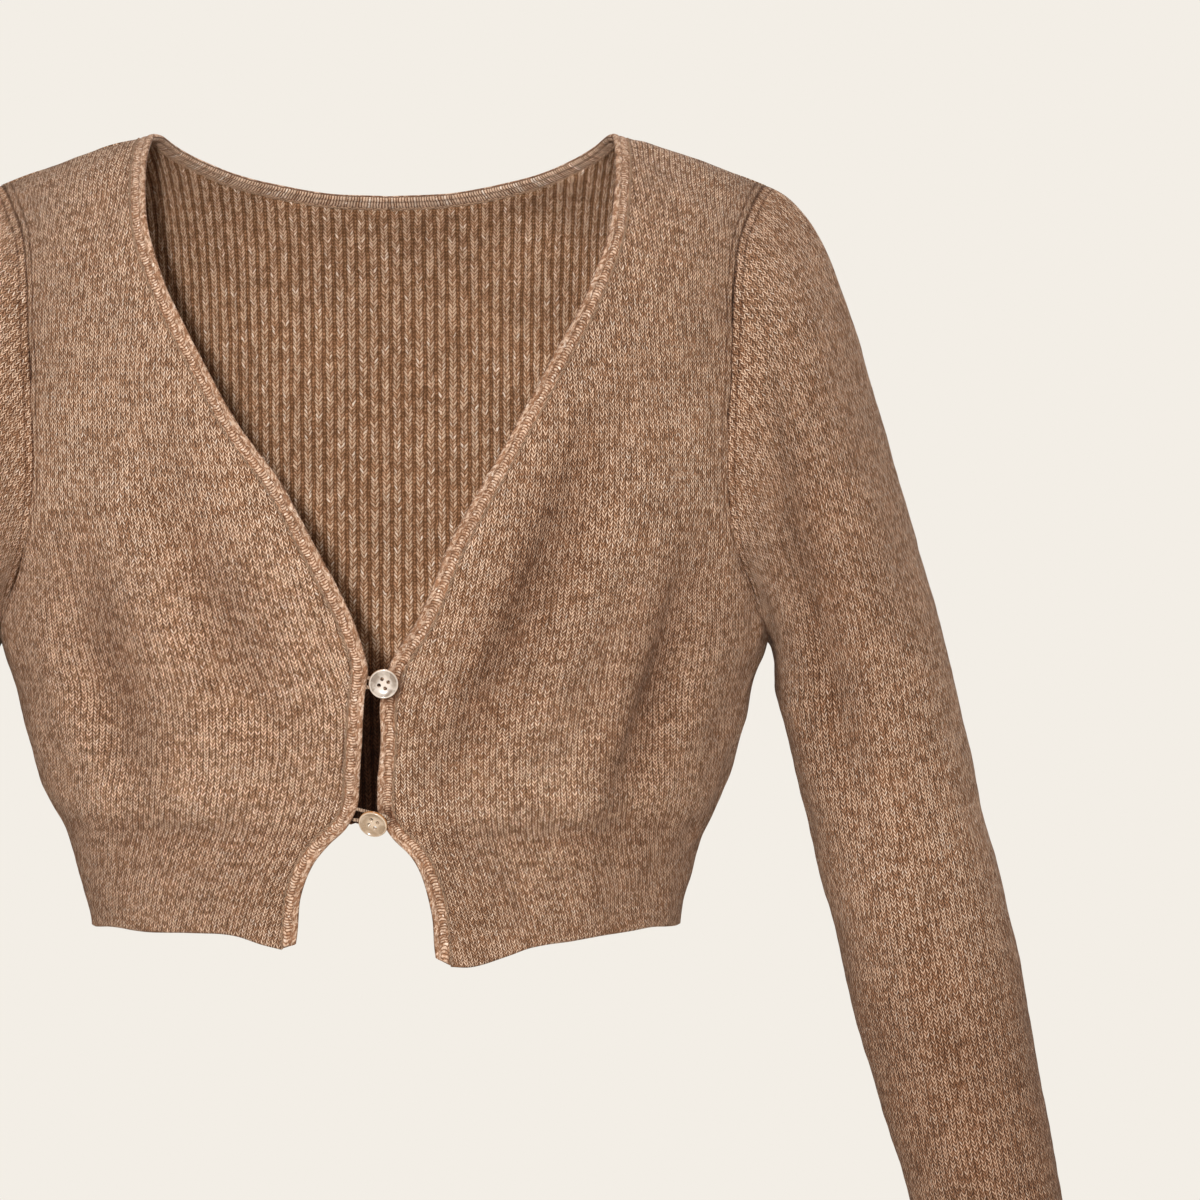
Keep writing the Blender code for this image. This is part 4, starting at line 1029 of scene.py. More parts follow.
class Graph:
    """Builds the shader nodes of one material."""

    def __init__(self, name: str) -> None:
        """Starts a material with its one shader.

        Args:
            name: The material's name.
        """
        self.material = bpy.data.materials.new(name)
        self.material.use_nodes = True
        self.nodes = self.material.node_tree.nodes
        self.links = self.material.node_tree.links
        self.shader = self.nodes["Principled BSDF"]
        self.place = self.node("ShaderNodeTexCoord").outputs["Object"]

    def node(self, kind: str, inputs: dict | None = None, **settings: object) -> bpy.types.Node:
        """Adds a node.

        Args:
            kind: Its type.
            inputs: What each input gets: a value, a signal or a socket to be linked.
            settings: Its properties.

        Returns:
            The node.
        """
        made = self.nodes.new(kind)
        for key, value in settings.items():
            setattr(made, key, value)
        self.feed(made, inputs or {})
        return made

    def feed(self, node: bpy.types.Node, inputs: dict) -> None:
        """Gives a node's inputs their values, or links them.

        Args:
            node: The node.
            inputs: What each input gets, by its name or number.
        """
        for key, value in inputs.items():
            socket = value.socket if isinstance(value, Signal) else value
            if isinstance(socket, Socket):
                self.links.new(socket, node.inputs[key])
            else:
                node.inputs[key].default_value = socket

    def math(self, operation: str, *values: Value) -> Signal:
        """A Math node over one or two values."""
        made = self.node("ShaderNodeMath", dict(enumerate(values)), operation=operation)
        return Signal(self, made.outputs[0])

    def around(self, value: Value) -> Signal:
        """From -1 to 1 over each whole number's span."""
        return self.math("FRACT", value) * 2.0 - 1.0

    def split(self, kind: str, vector: Socket) -> list[Signal]:
        """The parts of a vector or colour."""
        return [Signal(self, part) for part in self.node(kind, {0: vector}).outputs]

    def stitches(self) -> list[Signal]:
        """The stitch column and row."""
        made = self.node("ShaderNodeUVMap", uv_map="stitches")
        return self.split("ShaderNodeSeparateXYZ", made.outputs[0])[:2]

    def attribute(self, name: str) -> Signal:
        """A number that the mesh's points carry, 0 where they carry none."""
        return Signal(self, self.node("ShaderNodeAttribute", attribute_name=name).outputs["Fac"])

    def pair(self, x: Value, y: Value) -> Socket:
        """A vector of two values."""
        return self.node("ShaderNodeCombineXYZ", {0: x, 1: y}).outputs[0]

    def noise(self, place: Socket, scale: float, detail: float, distortion: float = 0.0) -> Signal:
        """A Noise texture over a place."""
        inputs = {"Vector": place, "Scale": scale, "Detail": detail, "Distortion": distortion}
        return Signal(self, self.node("ShaderNodeTexNoise", inputs).outputs[0])

    def fields(self, scale: float, detail: float) -> list[Signal]:
        """Three fields of noise over the object, each its own."""
        made = self.node("ShaderNodeTexNoise", {"Vector": self.place, "Scale": scale, "Detail": detail})
        return self.split("ShaderNodeSeparateColor", made.outputs["Color"])

    def random(self, x: Value, y: Value) -> list[Signal]:
        """Three random numbers for each pair of whole numbers.

        Args:
            x: The first number.
            y: The second.

        Returns:
            The random numbers, from 0 to 1.
        """
        place = self.pair(self.math("FLOOR", x), self.math("FLOOR", y))
        made = self.node("ShaderNodeTexWhiteNoise", {"Vector": place}, noise_dimensions="2D")
        return self.split("ShaderNodeSeparateColor", made.outputs["Color"])

    def range(self, value: Value, low: float, high: float, first: float = 0.0, last: float = 1.0) -> Signal:
        """A smooth step of a value from low to high, carried to first and last.

        Args:
            value: What is carried.
            low: Where the step begins.
            high: Where it ends.
            first: What it is carried to at low.
            last: What it is carried to at high.

        Returns:
            The carried value.
        """
        keys = ("Value", "From Min", "From Max", "To Min", "To Max")
        inputs = dict(zip(keys, (value, low, high, first, last)))
        made = self.node("ShaderNodeMapRange", inputs, interpolation_type="SMOOTHSTEP")
        return Signal(self, made.outputs[0])

    def blend(self, share: Value, first: Paint, second: Paint, mode: str = "MIX") -> Socket:
        """A mix of two colours."""
        inputs = {0: share, 6: first, 7: second}
        return self.node("ShaderNodeMix", inputs, data_type="RGBA", blend_type=mode).outputs[2]

    def level(self, share: Value, first: Value, second: Value) -> Signal:
        """A mix of two numbers."""
        made = self.node("ShaderNodeMix", {0: share, 2: first, 3: second}, data_type="FLOAT")
        return Signal(self, made.outputs[0])

    def finish(
        self, colour: Paint, height: Value, depth: float, strength: float, settings: dict
    ) -> bpy.types.Material:
        """Completes the material.

        Args:
            colour: Its base colour.
            height: Its relief.
            depth: How many metres a relief of 1 stands out.
            strength: How much of the relief shows.
            settings: Values of the shader's other inputs.

        Returns:
            The material.
        """
        bump = self.node("ShaderNodeBump", {"Strength": strength, "Distance": depth, "Height": height})
        self.feed(self.shader, {"Base Color": colour, "Normal": bump.outputs[0], **settings})
        return self.material


class Stitch(Enum):
    """What is knitted."""

    PLAIN = "plain"
    RIB = "rib"
    EDGE = "edge"
    CORD = "cord"


# Scales of the noises over an object, for each metre
STRAY_SCALE = 190.0
FRAY_SCALE = 800.0
FUZZ_SCALE = 75.0
CLOUD_SCALE = 26.0
GRAIN_SCALE = 300.0
LUMP_SCALE = 70.0
LAYER_SCALE = 130.0
# Noises over the stitches, for each column and row
FIBRES = (5.0, 5.0)
MARL = (0.16, 0.55)
# How near the yarn's top each colour is pure; the dark one, low between the strands, is painted shade
DARK_AT, MIDDLE_AT, LIGHT_AT = 0.06, 0.44, 0.77
FUZZ_AT = 0.40  # and how near it the loose fibres are
# Painted shade in a seam's groove, on the scale of a fold's
GROOVE_LIGHT = 1.6  # how much of a fold's light a seam's groove takes


@dataclass(frozen=True)
class Yarn:
    """The knit's finish.

    Attributes:
        dark: Colour deep between the strands: painted shade of the gaps.
        middle: Colour of the strands' flanks.
        light: Colour of their tops: partly the yarn's own paler tone, partly a painted highlight.
        fleck: Colour of the palest fibres.
        marl: How much paler and darker the yarn is from row to row.
        fuzz: How far loose fibres hide the stitches, where they are thickest.
        stray: How far the stitches stray from their columns, in columns.
        shaded: Colour of the painted shade: how much red, green and blue light is left between the walls of a
            deep fold.
        depth: How far the strands stand out, in metres.
        roughness: Roughness of the wool.
        sheen: How much its short fibres catch the light.
    """

    dark: Colour = (0.100, 0.038, 0.014, 1.0)
    middle: Colour = (0.408, 0.204, 0.104, 1.0)
    light: Colour = (0.900, 0.632, 0.452, 1.0)
    fleck: Colour = (0.970, 0.810, 0.680, 1.0)
    marl: float = 0.04
    fuzz: float = 0.24
    stray: float = 0.43
    shaded: tuple[float, float, float] = (0.53, 0.455, 0.405)
    depth: float = 0.0008
    roughness: float = 0.92
    sheen: float = 0.08

    def material(self, name: str, stitch: Stitch) -> bpy.types.Material:
        """Makes the finish.

        `amount` is how near the yarn's top a place is: the strand's height, times chance for each
        strand, plus fibres and the marl of the rows. It picks the colour, from dark through middle
        to light, so that the gaps between strands get painted shade and the tops a partly painted
        highlight.

        Args:
            name: The material's name.
            stitch: What is knitted.

        Returns:
            The material.
        """
        graph = Graph(name)
        column, row = graph.stitches()
        soft = graph.fields(STRAY_SCALE, 1.5)
        rough = graph.fields(FRAY_SCALE, 1.0)
        column = column + (soft[0] - 0.5) * self.stray + (rough[0] - 0.5) * (self.stray * 0.5)
        row = row + (soft[1] - 0.5) * (self.stray * 1.8) + (rough[1] - 0.5) * (self.stray * 0.9)
        height, chance = self._pattern(graph, stitch, column, row)
        fine = graph.noise(graph.pair(column * FIBRES[0], row * FIBRES[1]), 1.0, 1.5) - 0.5
        marl = graph.noise(graph.pair(column * MARL[0], row * MARL[1]), 1.0, 2.5)
        amount = height * graph.range(chance[0], 0.0, 1.0, 0.62, 1.26) + fine * 0.55
        amount = amount + graph.range(marl, 0.36, 0.66, -self.marl, self.marl)
        fuzz = graph.range(graph.noise(graph.place, FUZZ_SCALE, 2.0), 0.50, 0.66, 0.0, self.fuzz)
        amount = graph.level(fuzz, amount, amount * 0.2 + FUZZ_AT)
        colour = graph.blend(graph.range(amount, DARK_AT, MIDDLE_AT), self.dark, self.middle)
        colour = graph.blend(graph.range(amount, MIDDLE_AT, LIGHT_AT), colour, self.light)
        pale = graph.range(chance[1], 0.80, 0.95) * graph.range(amount, 0.55, 1.0)
        colour = graph.blend(pale * 0.75, colour, self.fleck)
        shade = graph.range(graph.noise(graph.place, CLOUD_SCALE, 3.0), 0.3, 0.7, 0.94, 1.06)
        shade = shade + graph.range(graph.noise(graph.place, GRAIN_SCALE, 2.0), 0.3, 0.7, -0.12, 0.12)
        # Painted shade: the seam's groove and the painted shade that the mesh carries darken the colour,
        # tinted warm
        seam = self._seam(graph)
        deep = (1.0 - seam) * GROOVE_LIGHT + graph.attribute("painted_shade")
        left = dict(enumerate(part**deep * shade for part in self.shaded))
        colour = graph.blend(1.0, colour, graph.node("ShaderNodeCombineColor", left).outputs[0], "MULTIPLY")
        lumps = graph.noise(graph.place, LUMP_SCALE, 2.0) * 0.8
        settings = {
            "Roughness": self.roughness,
            "Specular IOR Level": 0.2,
            "Sheen Weight": self.sheen,
            "Sheen Roughness": 0.45,
            "Sheen Tint": self.fleck,
        }
        return graph.finish(colour, height + lumps + fine * 0.5 + seam * 0.6, self.depth, 1.0, settings)

    @staticmethod
    def _seam(graph: Graph) -> Signal:
        """1 on plain cloth, less in the groove of a seam and beyond its column of stitches: painted shade
        there, which also shapes the relief.

        Args:
            graph: The material's nodes.

        Returns:
            The share of the light that the painted shade leaves.
        """
        away = SEAM_REACH - graph.attribute("seam")
        groove = graph.range(away, 0.0001, GROOVE_WIDTH)
        return groove * graph.range(abs(away - SEAM_LINE), 0.0001, 0.0010, 0.45, 1.0)

    @staticmethod
    def _side(graph: Graph, column: Signal) -> Signal:
        """Distance from a column's middle, from 0 there to 1 at its edges."""
        return abs(graph.math("FRACT", column) - 0.5) * 2.0

    @staticmethod
    def _legs(graph: Graph, side: Signal, row: Signal, rise: float, slim: float) -> tuple[Signal, Signal]:
        """Strands of a column of V's.

        A strand is where the row, less the side's rise, is halfway between two whole numbers. Its
        height is a parabola over its width, to a power, less at its two tucked ends.

        Args:
            graph: The material's nodes.
            side: Distance from the column's middle, 1 at its edges.
            row: The stitch row.
            rise: How many rows a strand climbs from the middle to the edge.
            slim: The power: a higher one leaves a slimmer strand.

        Returns:
            The strands' height, and a level whose whole part is each strand's own.
        """
        level = row - side * rise
        across = graph.around(level)
        strand = (1.0 - across * across * 0.96) ** slim
        return strand * (1.0 - side**4.0 - (1.0 - side) ** 4.0 * 0.60), level

    def _pattern(
        self, graph: Graph, stitch: Stitch, column: Signal, row: Signal
    ) -> tuple[Signal, list[Signal]]:
        """Height of the yarn from 0 to 1, and random numbers for each strand.

        Args:
            graph: The material's nodes.
            stitch: What is knitted.
            column: The stitch column.
            row: The stitch row.

        Returns:
            The yarn's height, and three random numbers for each strand.
        """
        if stitch is Stitch.PLAIN:
            height, level = self._legs(graph, self._side(graph, column), row, 1.25, 1.2)
            return height, graph.random(column * 2.0, level)
        if stitch is Stitch.RIB:
            return self._rib(graph, column, row)
        if stitch is Stitch.EDGE:
            return self._edge(graph, column, row)
        across = graph.around(column * 2.0 + row)
        return 1.0 - across * across * 0.7, graph.random(column + row, row)

    def _rib(self, graph: Graph, column: Signal, row: Signal) -> tuple[Signal, list[Signal]]:
        """A rib of V's, and between two of them a deep column with a wave of arcs.

        Args:
            graph: The material's nodes.
            column: The stitch column.
            row: The stitch row.

        Returns:
            The yarn's height, and three random numbers for each strand.
        """
        away = self._side(graph, column) * 0.5
        height, level = self._legs(graph, graph.math("MINIMUM", away / RIB_EDGE, 1.0), row, 1.30, 0.8)
        bend = (0.5 - away) * (0.5 - away)
        wave = graph.math("SINE", (row - bend * 22.0) * (2 * math.pi))
        trough = wave * 0.09 + 0.23 - graph.range(away, 0.45, 0.39, 0.0, 0.16)
        return graph.level(graph.range(away, 0.345, 0.39), height, trough), graph.random(column * 2.0, level)

    @staticmethod
    def _edge(graph: Graph, column: Signal, row: Signal) -> tuple[Signal, list[Signal]]:
        """The band: a rolled edge with streaks, a ladder of bowed arcs, and a chain at the seam.

        Args:
            graph: The material's nodes.
            column: The stitch column.
            row: The stitch row.

        Returns:
            The yarn's height, and three random numbers for each strand.
        """
        share = abs(column)
        bowed = (share - 0.40) / 0.23 - 1.0
        bow = bowed * bowed
        arcs = row + bow * 0.45
        across = graph.around(arcs)
        ladder = (1.0 - across * across) * graph.range(bow, 0.5, 1.1, 1.0, 0.25)
        slim = share * 9.0
        rolled = graph.range(graph.noise(graph.pair(slim, row * 0.30), 1.6, 2.0), 0.25, 0.72, 0.30, 1.0)
        height = graph.level(graph.range(share, 0.36, 0.41), rolled, ladder)
        chain = graph.math("SINE", row * 2.2) * 0.2 + 0.6
        height = graph.level(graph.range(share, 0.88, 0.91), height, chain) * 0.60 + 0.20
        height = graph.level(graph.math("LESS_THAN", column, 0.0), height, ladder * 0.90 + 0.15)
        return height, graph.random(slim, arcs)


@dataclass(frozen=True)
class Pearl:
    """A button's finish: pale mother-of-pearl look with an amber rim.

    Attributes:
        face: Colour of the face.
        cloud: Colour of its softly darker clouds.
        amber: Colour of its side.
    """

    face: Colour
    cloud: Colour
    amber: Colour

    def material(self, name: str) -> bpy.types.Material:
        """Makes the finish: the map's U is the radius as a share, its V the height as a share.

        Args:
            name: The material's name.

        Returns:
            The material.
        """
        graph = Graph(name)
        radius, height = graph.stitches()
        layers = graph.noise(graph.place, LAYER_SCALE, 2.0, 1.2)
        # Painted shade of the dished face: a darker ring between a bright middle and rim. The clouds in it
        # are the pearl's own tone
        ring = (graph.range(radius, 0.20, 0.62) * 0.80 + 0.12) * graph.range(radius, 0.86, 0.92, 1.0, 0.35)
        clouds = graph.range(layers, 0.36, 0.60) * 0.7 + 0.3
        colour = graph.blend(clouds * ring, self.face, self.cloud)
        side = graph.range(radius, 0.88, 0.97) * graph.range(height, 0.98, 0.72)
        colour = graph.blend(side, colour, self.amber)
        settings = {
            "Roughness": 0.27,
            "Coat Weight": 0.5,
            "Coat Roughness": 0.12,
            "Subsurface Weight": 0.12,
            "Subsurface Radius": (0.002, 0.0015, 0.001),
        }
        return graph.finish(colour, layers, 0.0002, 0.15, settings)


WOOL = Yarn()
RIB_WOOL = Yarn(
    dark=(0.125, 0.052, 0.020, 1.0),
    middle=(0.410, 0.208, 0.106, 1.0),
    light=(0.690, 0.468, 0.318, 1.0),
    marl=0.02,
    fuzz=0.10,
    stray=0.30,
)
BAND_WOOL = Yarn(middle=(0.330, 0.162, 0.085, 1.0), light=(0.680, 0.462, 0.325, 1.0), sheen=0.09)
CHAIN_WOOL = Yarn(middle=(0.330, 0.170, 0.090, 1.0), light=(0.600, 0.400, 0.265, 1.0), sheen=0.02)
# Darker than the other wool: painted shade, for loops that lie in a button's shade
SHADED_LOOP_WOOL = Yarn(middle=(0.250, 0.132, 0.072, 1.0), light=(0.500, 0.345, 0.240, 1.0))
COLD_PEARL = Pearl((0.70, 0.60, 0.51, 1.0), (0.24, 0.180, 0.135, 1.0), (0.40, 0.16, 0.04, 1.0))
WARM_PEARL = Pearl((0.66, 0.51, 0.37, 1.0), (0.32, 0.215, 0.13, 1.0), (0.42, 0.17, 0.04, 1.0))


# ---------------------------------------------------------------- the cardigan's pieces


@dataclass
class Piece:
    """A piece of the object, what it stands for and, for cloth, how it is cut.

    Attributes:
        nodes: The CAD nodes that it stands for.
        slot: The record's material slot that it stands for; it is not used.
        flat: Width and length of the cloth that it is cut from, if it is cloth; it is not used.
        share: The cut's area as a share of that rectangle; it is not used.
        made: The Blender object, once it is built.
    """

    nodes: tuple[str, ...]
    slot: str
    flat: tuple[float, float] | None = None
    share: float = 1.0
    made: bpy.types.Object | None = field(default=None, repr=False)

    def declare(self) -> None:
        """Tells the frame what the piece rides on, and hides the CAD nodes that it replaces."""
        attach(self.made, "root")
        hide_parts(*self.nodes)


@dataclass
class Front(Piece):
    """One front, with its folds and the map of its stitches."""

    form: FrontForm = LEFT_FRONT
    rows: int = 190
    columns: int = 100

    def build(self) -> None:
        """Makes the front: the torso's surface moved along its normal by folds and ripples."""
        form, places = self.form, self.form.places(self.rows, self.columns)
        middle = Torso.at(places)
        normal = Torso.frame(places)[2]
        below = form.below(self.rows)
        from_edge = np.linspace(0, 12, self.columns)[None]  # in twelfths of the front's width
        moved = relief(middle, form.folds) * (Torso.fold_share(places[..., 0]) * np.clip(from_edge / 2, 0, 1))
        # Painted shade: the folds', the upper chest's and the waist's, and the buttons' painted shadows
        painted_shade = painted_fold_shade(middle, moved, form.folds) + FRONT_SHADE
        painted_shade = painted_shade + CHEST_SHADE.at(middle) + WAIST_SHADE.at(middle)
        painted_shade = np.maximum(painted_shade, shadows(mirrored(middle, form.side)))
        free = smooth(from_edge / 1.2) * np.clip((QUARTER - places[..., 0]) / 0.12, 0, 1)
        moved = moved + UNEVEN * ripple(middle, 0.034, 5 + form.side) * free
        moved = moved + FINE_UNEVEN * ripple(middle, 0.009, 15 + form.side) * free
        lifted = middle + normal * moved[..., None]
        normal = unit(normal + grid_normals(lifted) - grid_normals(middle))
        normal[-1] = unit(normal[-1] * ALONG_SHOULDER)
        normal[:below, -1] = unit(normal[:below, -1] * ALONG_SIDE)
        outer = lifted + normal * WALL / 2
        inner = lifted - normal * WALL / 2
        for face in (outer, inner):
            face[-1, :, 1] = -SEAM_GAP / 2
            face[..., 1] = np.minimum(face[..., 1], -SEAM_GAP / 2)
        length = arc(middle, axis=1)
        seam = np.where(np.arange(len(length))[:, None] >= below - 1, length[:, -1:] - length, 1.0)
        stitches = self.stitches(places, middle)
        wall = Wall(form.name, mirrored(outer, form.side), mirrored(inner, form.side), stitches, seam, painted_shade)
        self.made = wall.build(WOOL.material(f"{form.name}_wool", Stitch.PLAIN))

    def stitches(self, places: np.ndarray, middle: np.ndarray) -> np.ndarray:
        """Stitch columns and rows.

        A column's number is the length round the body, less how far its line has strayed on its
        way down, over the column's width. The stray is the sum of the tangents of the lean. A
        row's number is the length down the body over the row's height.

        Args:
            places: Grid of places.
            middle: The points there.

        Returns:
            Pairs of a column's and a row's number.
        """
        turn, fall = places[..., 0], places[..., 1]
        level = np.where(fall < QUARTER, np.cos(fall) - 1, -1 - fall + QUARTER) * SHOULDER_ROUNDING
        narrower = along(BODY, "half_width", level) / BODY[-1].half_width
        length = np.interp(turn, *Torso.round_chest(1)) * narrower
        levels = np.linspace(0, LOWEST_LEVEL, 400)
        part = np.linspace(0, 1, self.columns)[None]
        moved = np.zeros_like(turn)
        for key, share in (("edge", 1 - part), ("side", part)):
            slopes = np.tan(np.radians(along(self.form.lean, key, levels[1:])))
            stray = np.concatenate([[0], np.cumsum(slopes * (levels[0] - levels[1]))])
            moved += np.interp(-middle[..., 2], -levels, stray) * share
        falls, down = Torso.down_body(0.7, 1)
        below = np.maximum(down - WAIST_FALL, 0)
        row = -(down - below) / COURSE - below / WAIST_COURSE
        return np.stack([(length - moved) / WALE, np.interp(fall, falls, row)], axis=-1)


@dataclass
class Back(Piece):
    """The ribbed back."""

    rows: int = 136
    below: int = 52  # how many of the rows end on the side seam
    samples: int = 4  # grid columns to one rib

    def build(self) -> None:
        """Makes the back: ribs are raised cosines over the grid's columns, on both faces."""
        half = RIB_COUNT // 2 * self.samples
        part = np.linspace(-1, 1, 2 * half + 1)
        below = self.below
        sides = Torso.flank(BACK_ARMHOLE, -1, below, self.rows - below - 1, 1.0)
        climb = (sides[:, 1] / sides[0, 1])[:, None]
        turns, length = Torso.round_chest(-1)
        even = np.sign(part) * np.interp(np.abs(part), length / length[-1], turns)
        turn = even - np.sign(part) * (QUARTER - sides[:, :1]) * np.abs(part[None]) ** 3
        hem_x = Torso.point(np.abs(turn[0]), np.full(len(part), sides[0, 1]))[:, 0]
        hem_fall = Torso.hem_falls(BACK_HEM, hem_x, -1)
        hem_fall[[0, -1]] = sides[0, 1]
        seam = neck_lines(120)[1][::-1]
        top_turn = np.abs(turn[-1])
        top_fall = np.where(top_turn < seam[-1, 0], np.interp(top_turn, seam[:, 0], seam[:, 1]), 0.0)
        fall = top_fall[None] + climb * (hem_fall - top_fall)[None]
        places = np.stack([turn, fall], axis=-1)
        middle = Torso.at(places)
        normal = Torso.frame(places)[2]
        fade = Torso.fold_share(turn)
        moved = relief(middle, BACK_FOLDS) * fade + UNEVEN * ripple(middle, 0.036, 3) * smooth(fade * 2)
        lifted = middle + normal * moved[..., None]
        normal = unit(normal - grid_normals(lifted) + grid_normals(middle))
        normal[-1, top_fall == 0.0] = unit(normal[-1, top_fall == 0.0] * ALONG_SHOULDER)
        normal[:below, [0, -1]] = unit(normal[:below, [0, -1]] * ALONG_SIDE)
        ribs = np.cos(2 * math.pi * np.arange(len(part)) / self.samples) * -0.5 * RIB_HEIGHT
        ribs = ribs * smooth((1 - np.abs(part)) * RIB_COUNT / 2 / 3)
        upper = smooth((len(turn) - 1 - np.arange(len(turn))) / 7)[:, None]
        ribs = (ribs[None] * np.where(top_fall == 0.0, upper, 1.0))[..., None]
        outer = lifted + normal * (WALL / 2 + ribs)
        inner = lifted - normal * (WALL / 2 + ribs)
        for face in (outer, inner):
            face[..., 1] = np.maximum(face[..., 1], SEAM_GAP / 2)
            face[-1, top_fall == 0.0, 1] = SEAM_GAP / 2
        column = np.broadcast_to(np.arange(len(part)) / self.samples, turn.shape)
        row = -np.interp(-fall, *Torso.down_body(0.2, -1)) / RIB_COURSE
        stitches = np.stack([column, row], axis=-1)[:, ::-1]
        # Painted shade of the inner face, deep below the neck opening's lowest point
        deep = BACK_SHADE.at(middle)
        wall = Wall("rib_back", outer[:, ::-1], inner[:, ::-1], stitches, np.ones_like(row), 0 * row, deep)
        self.made = wall.build(RIB_WOOL.material("rib_back_wool", Stitch.RIB))


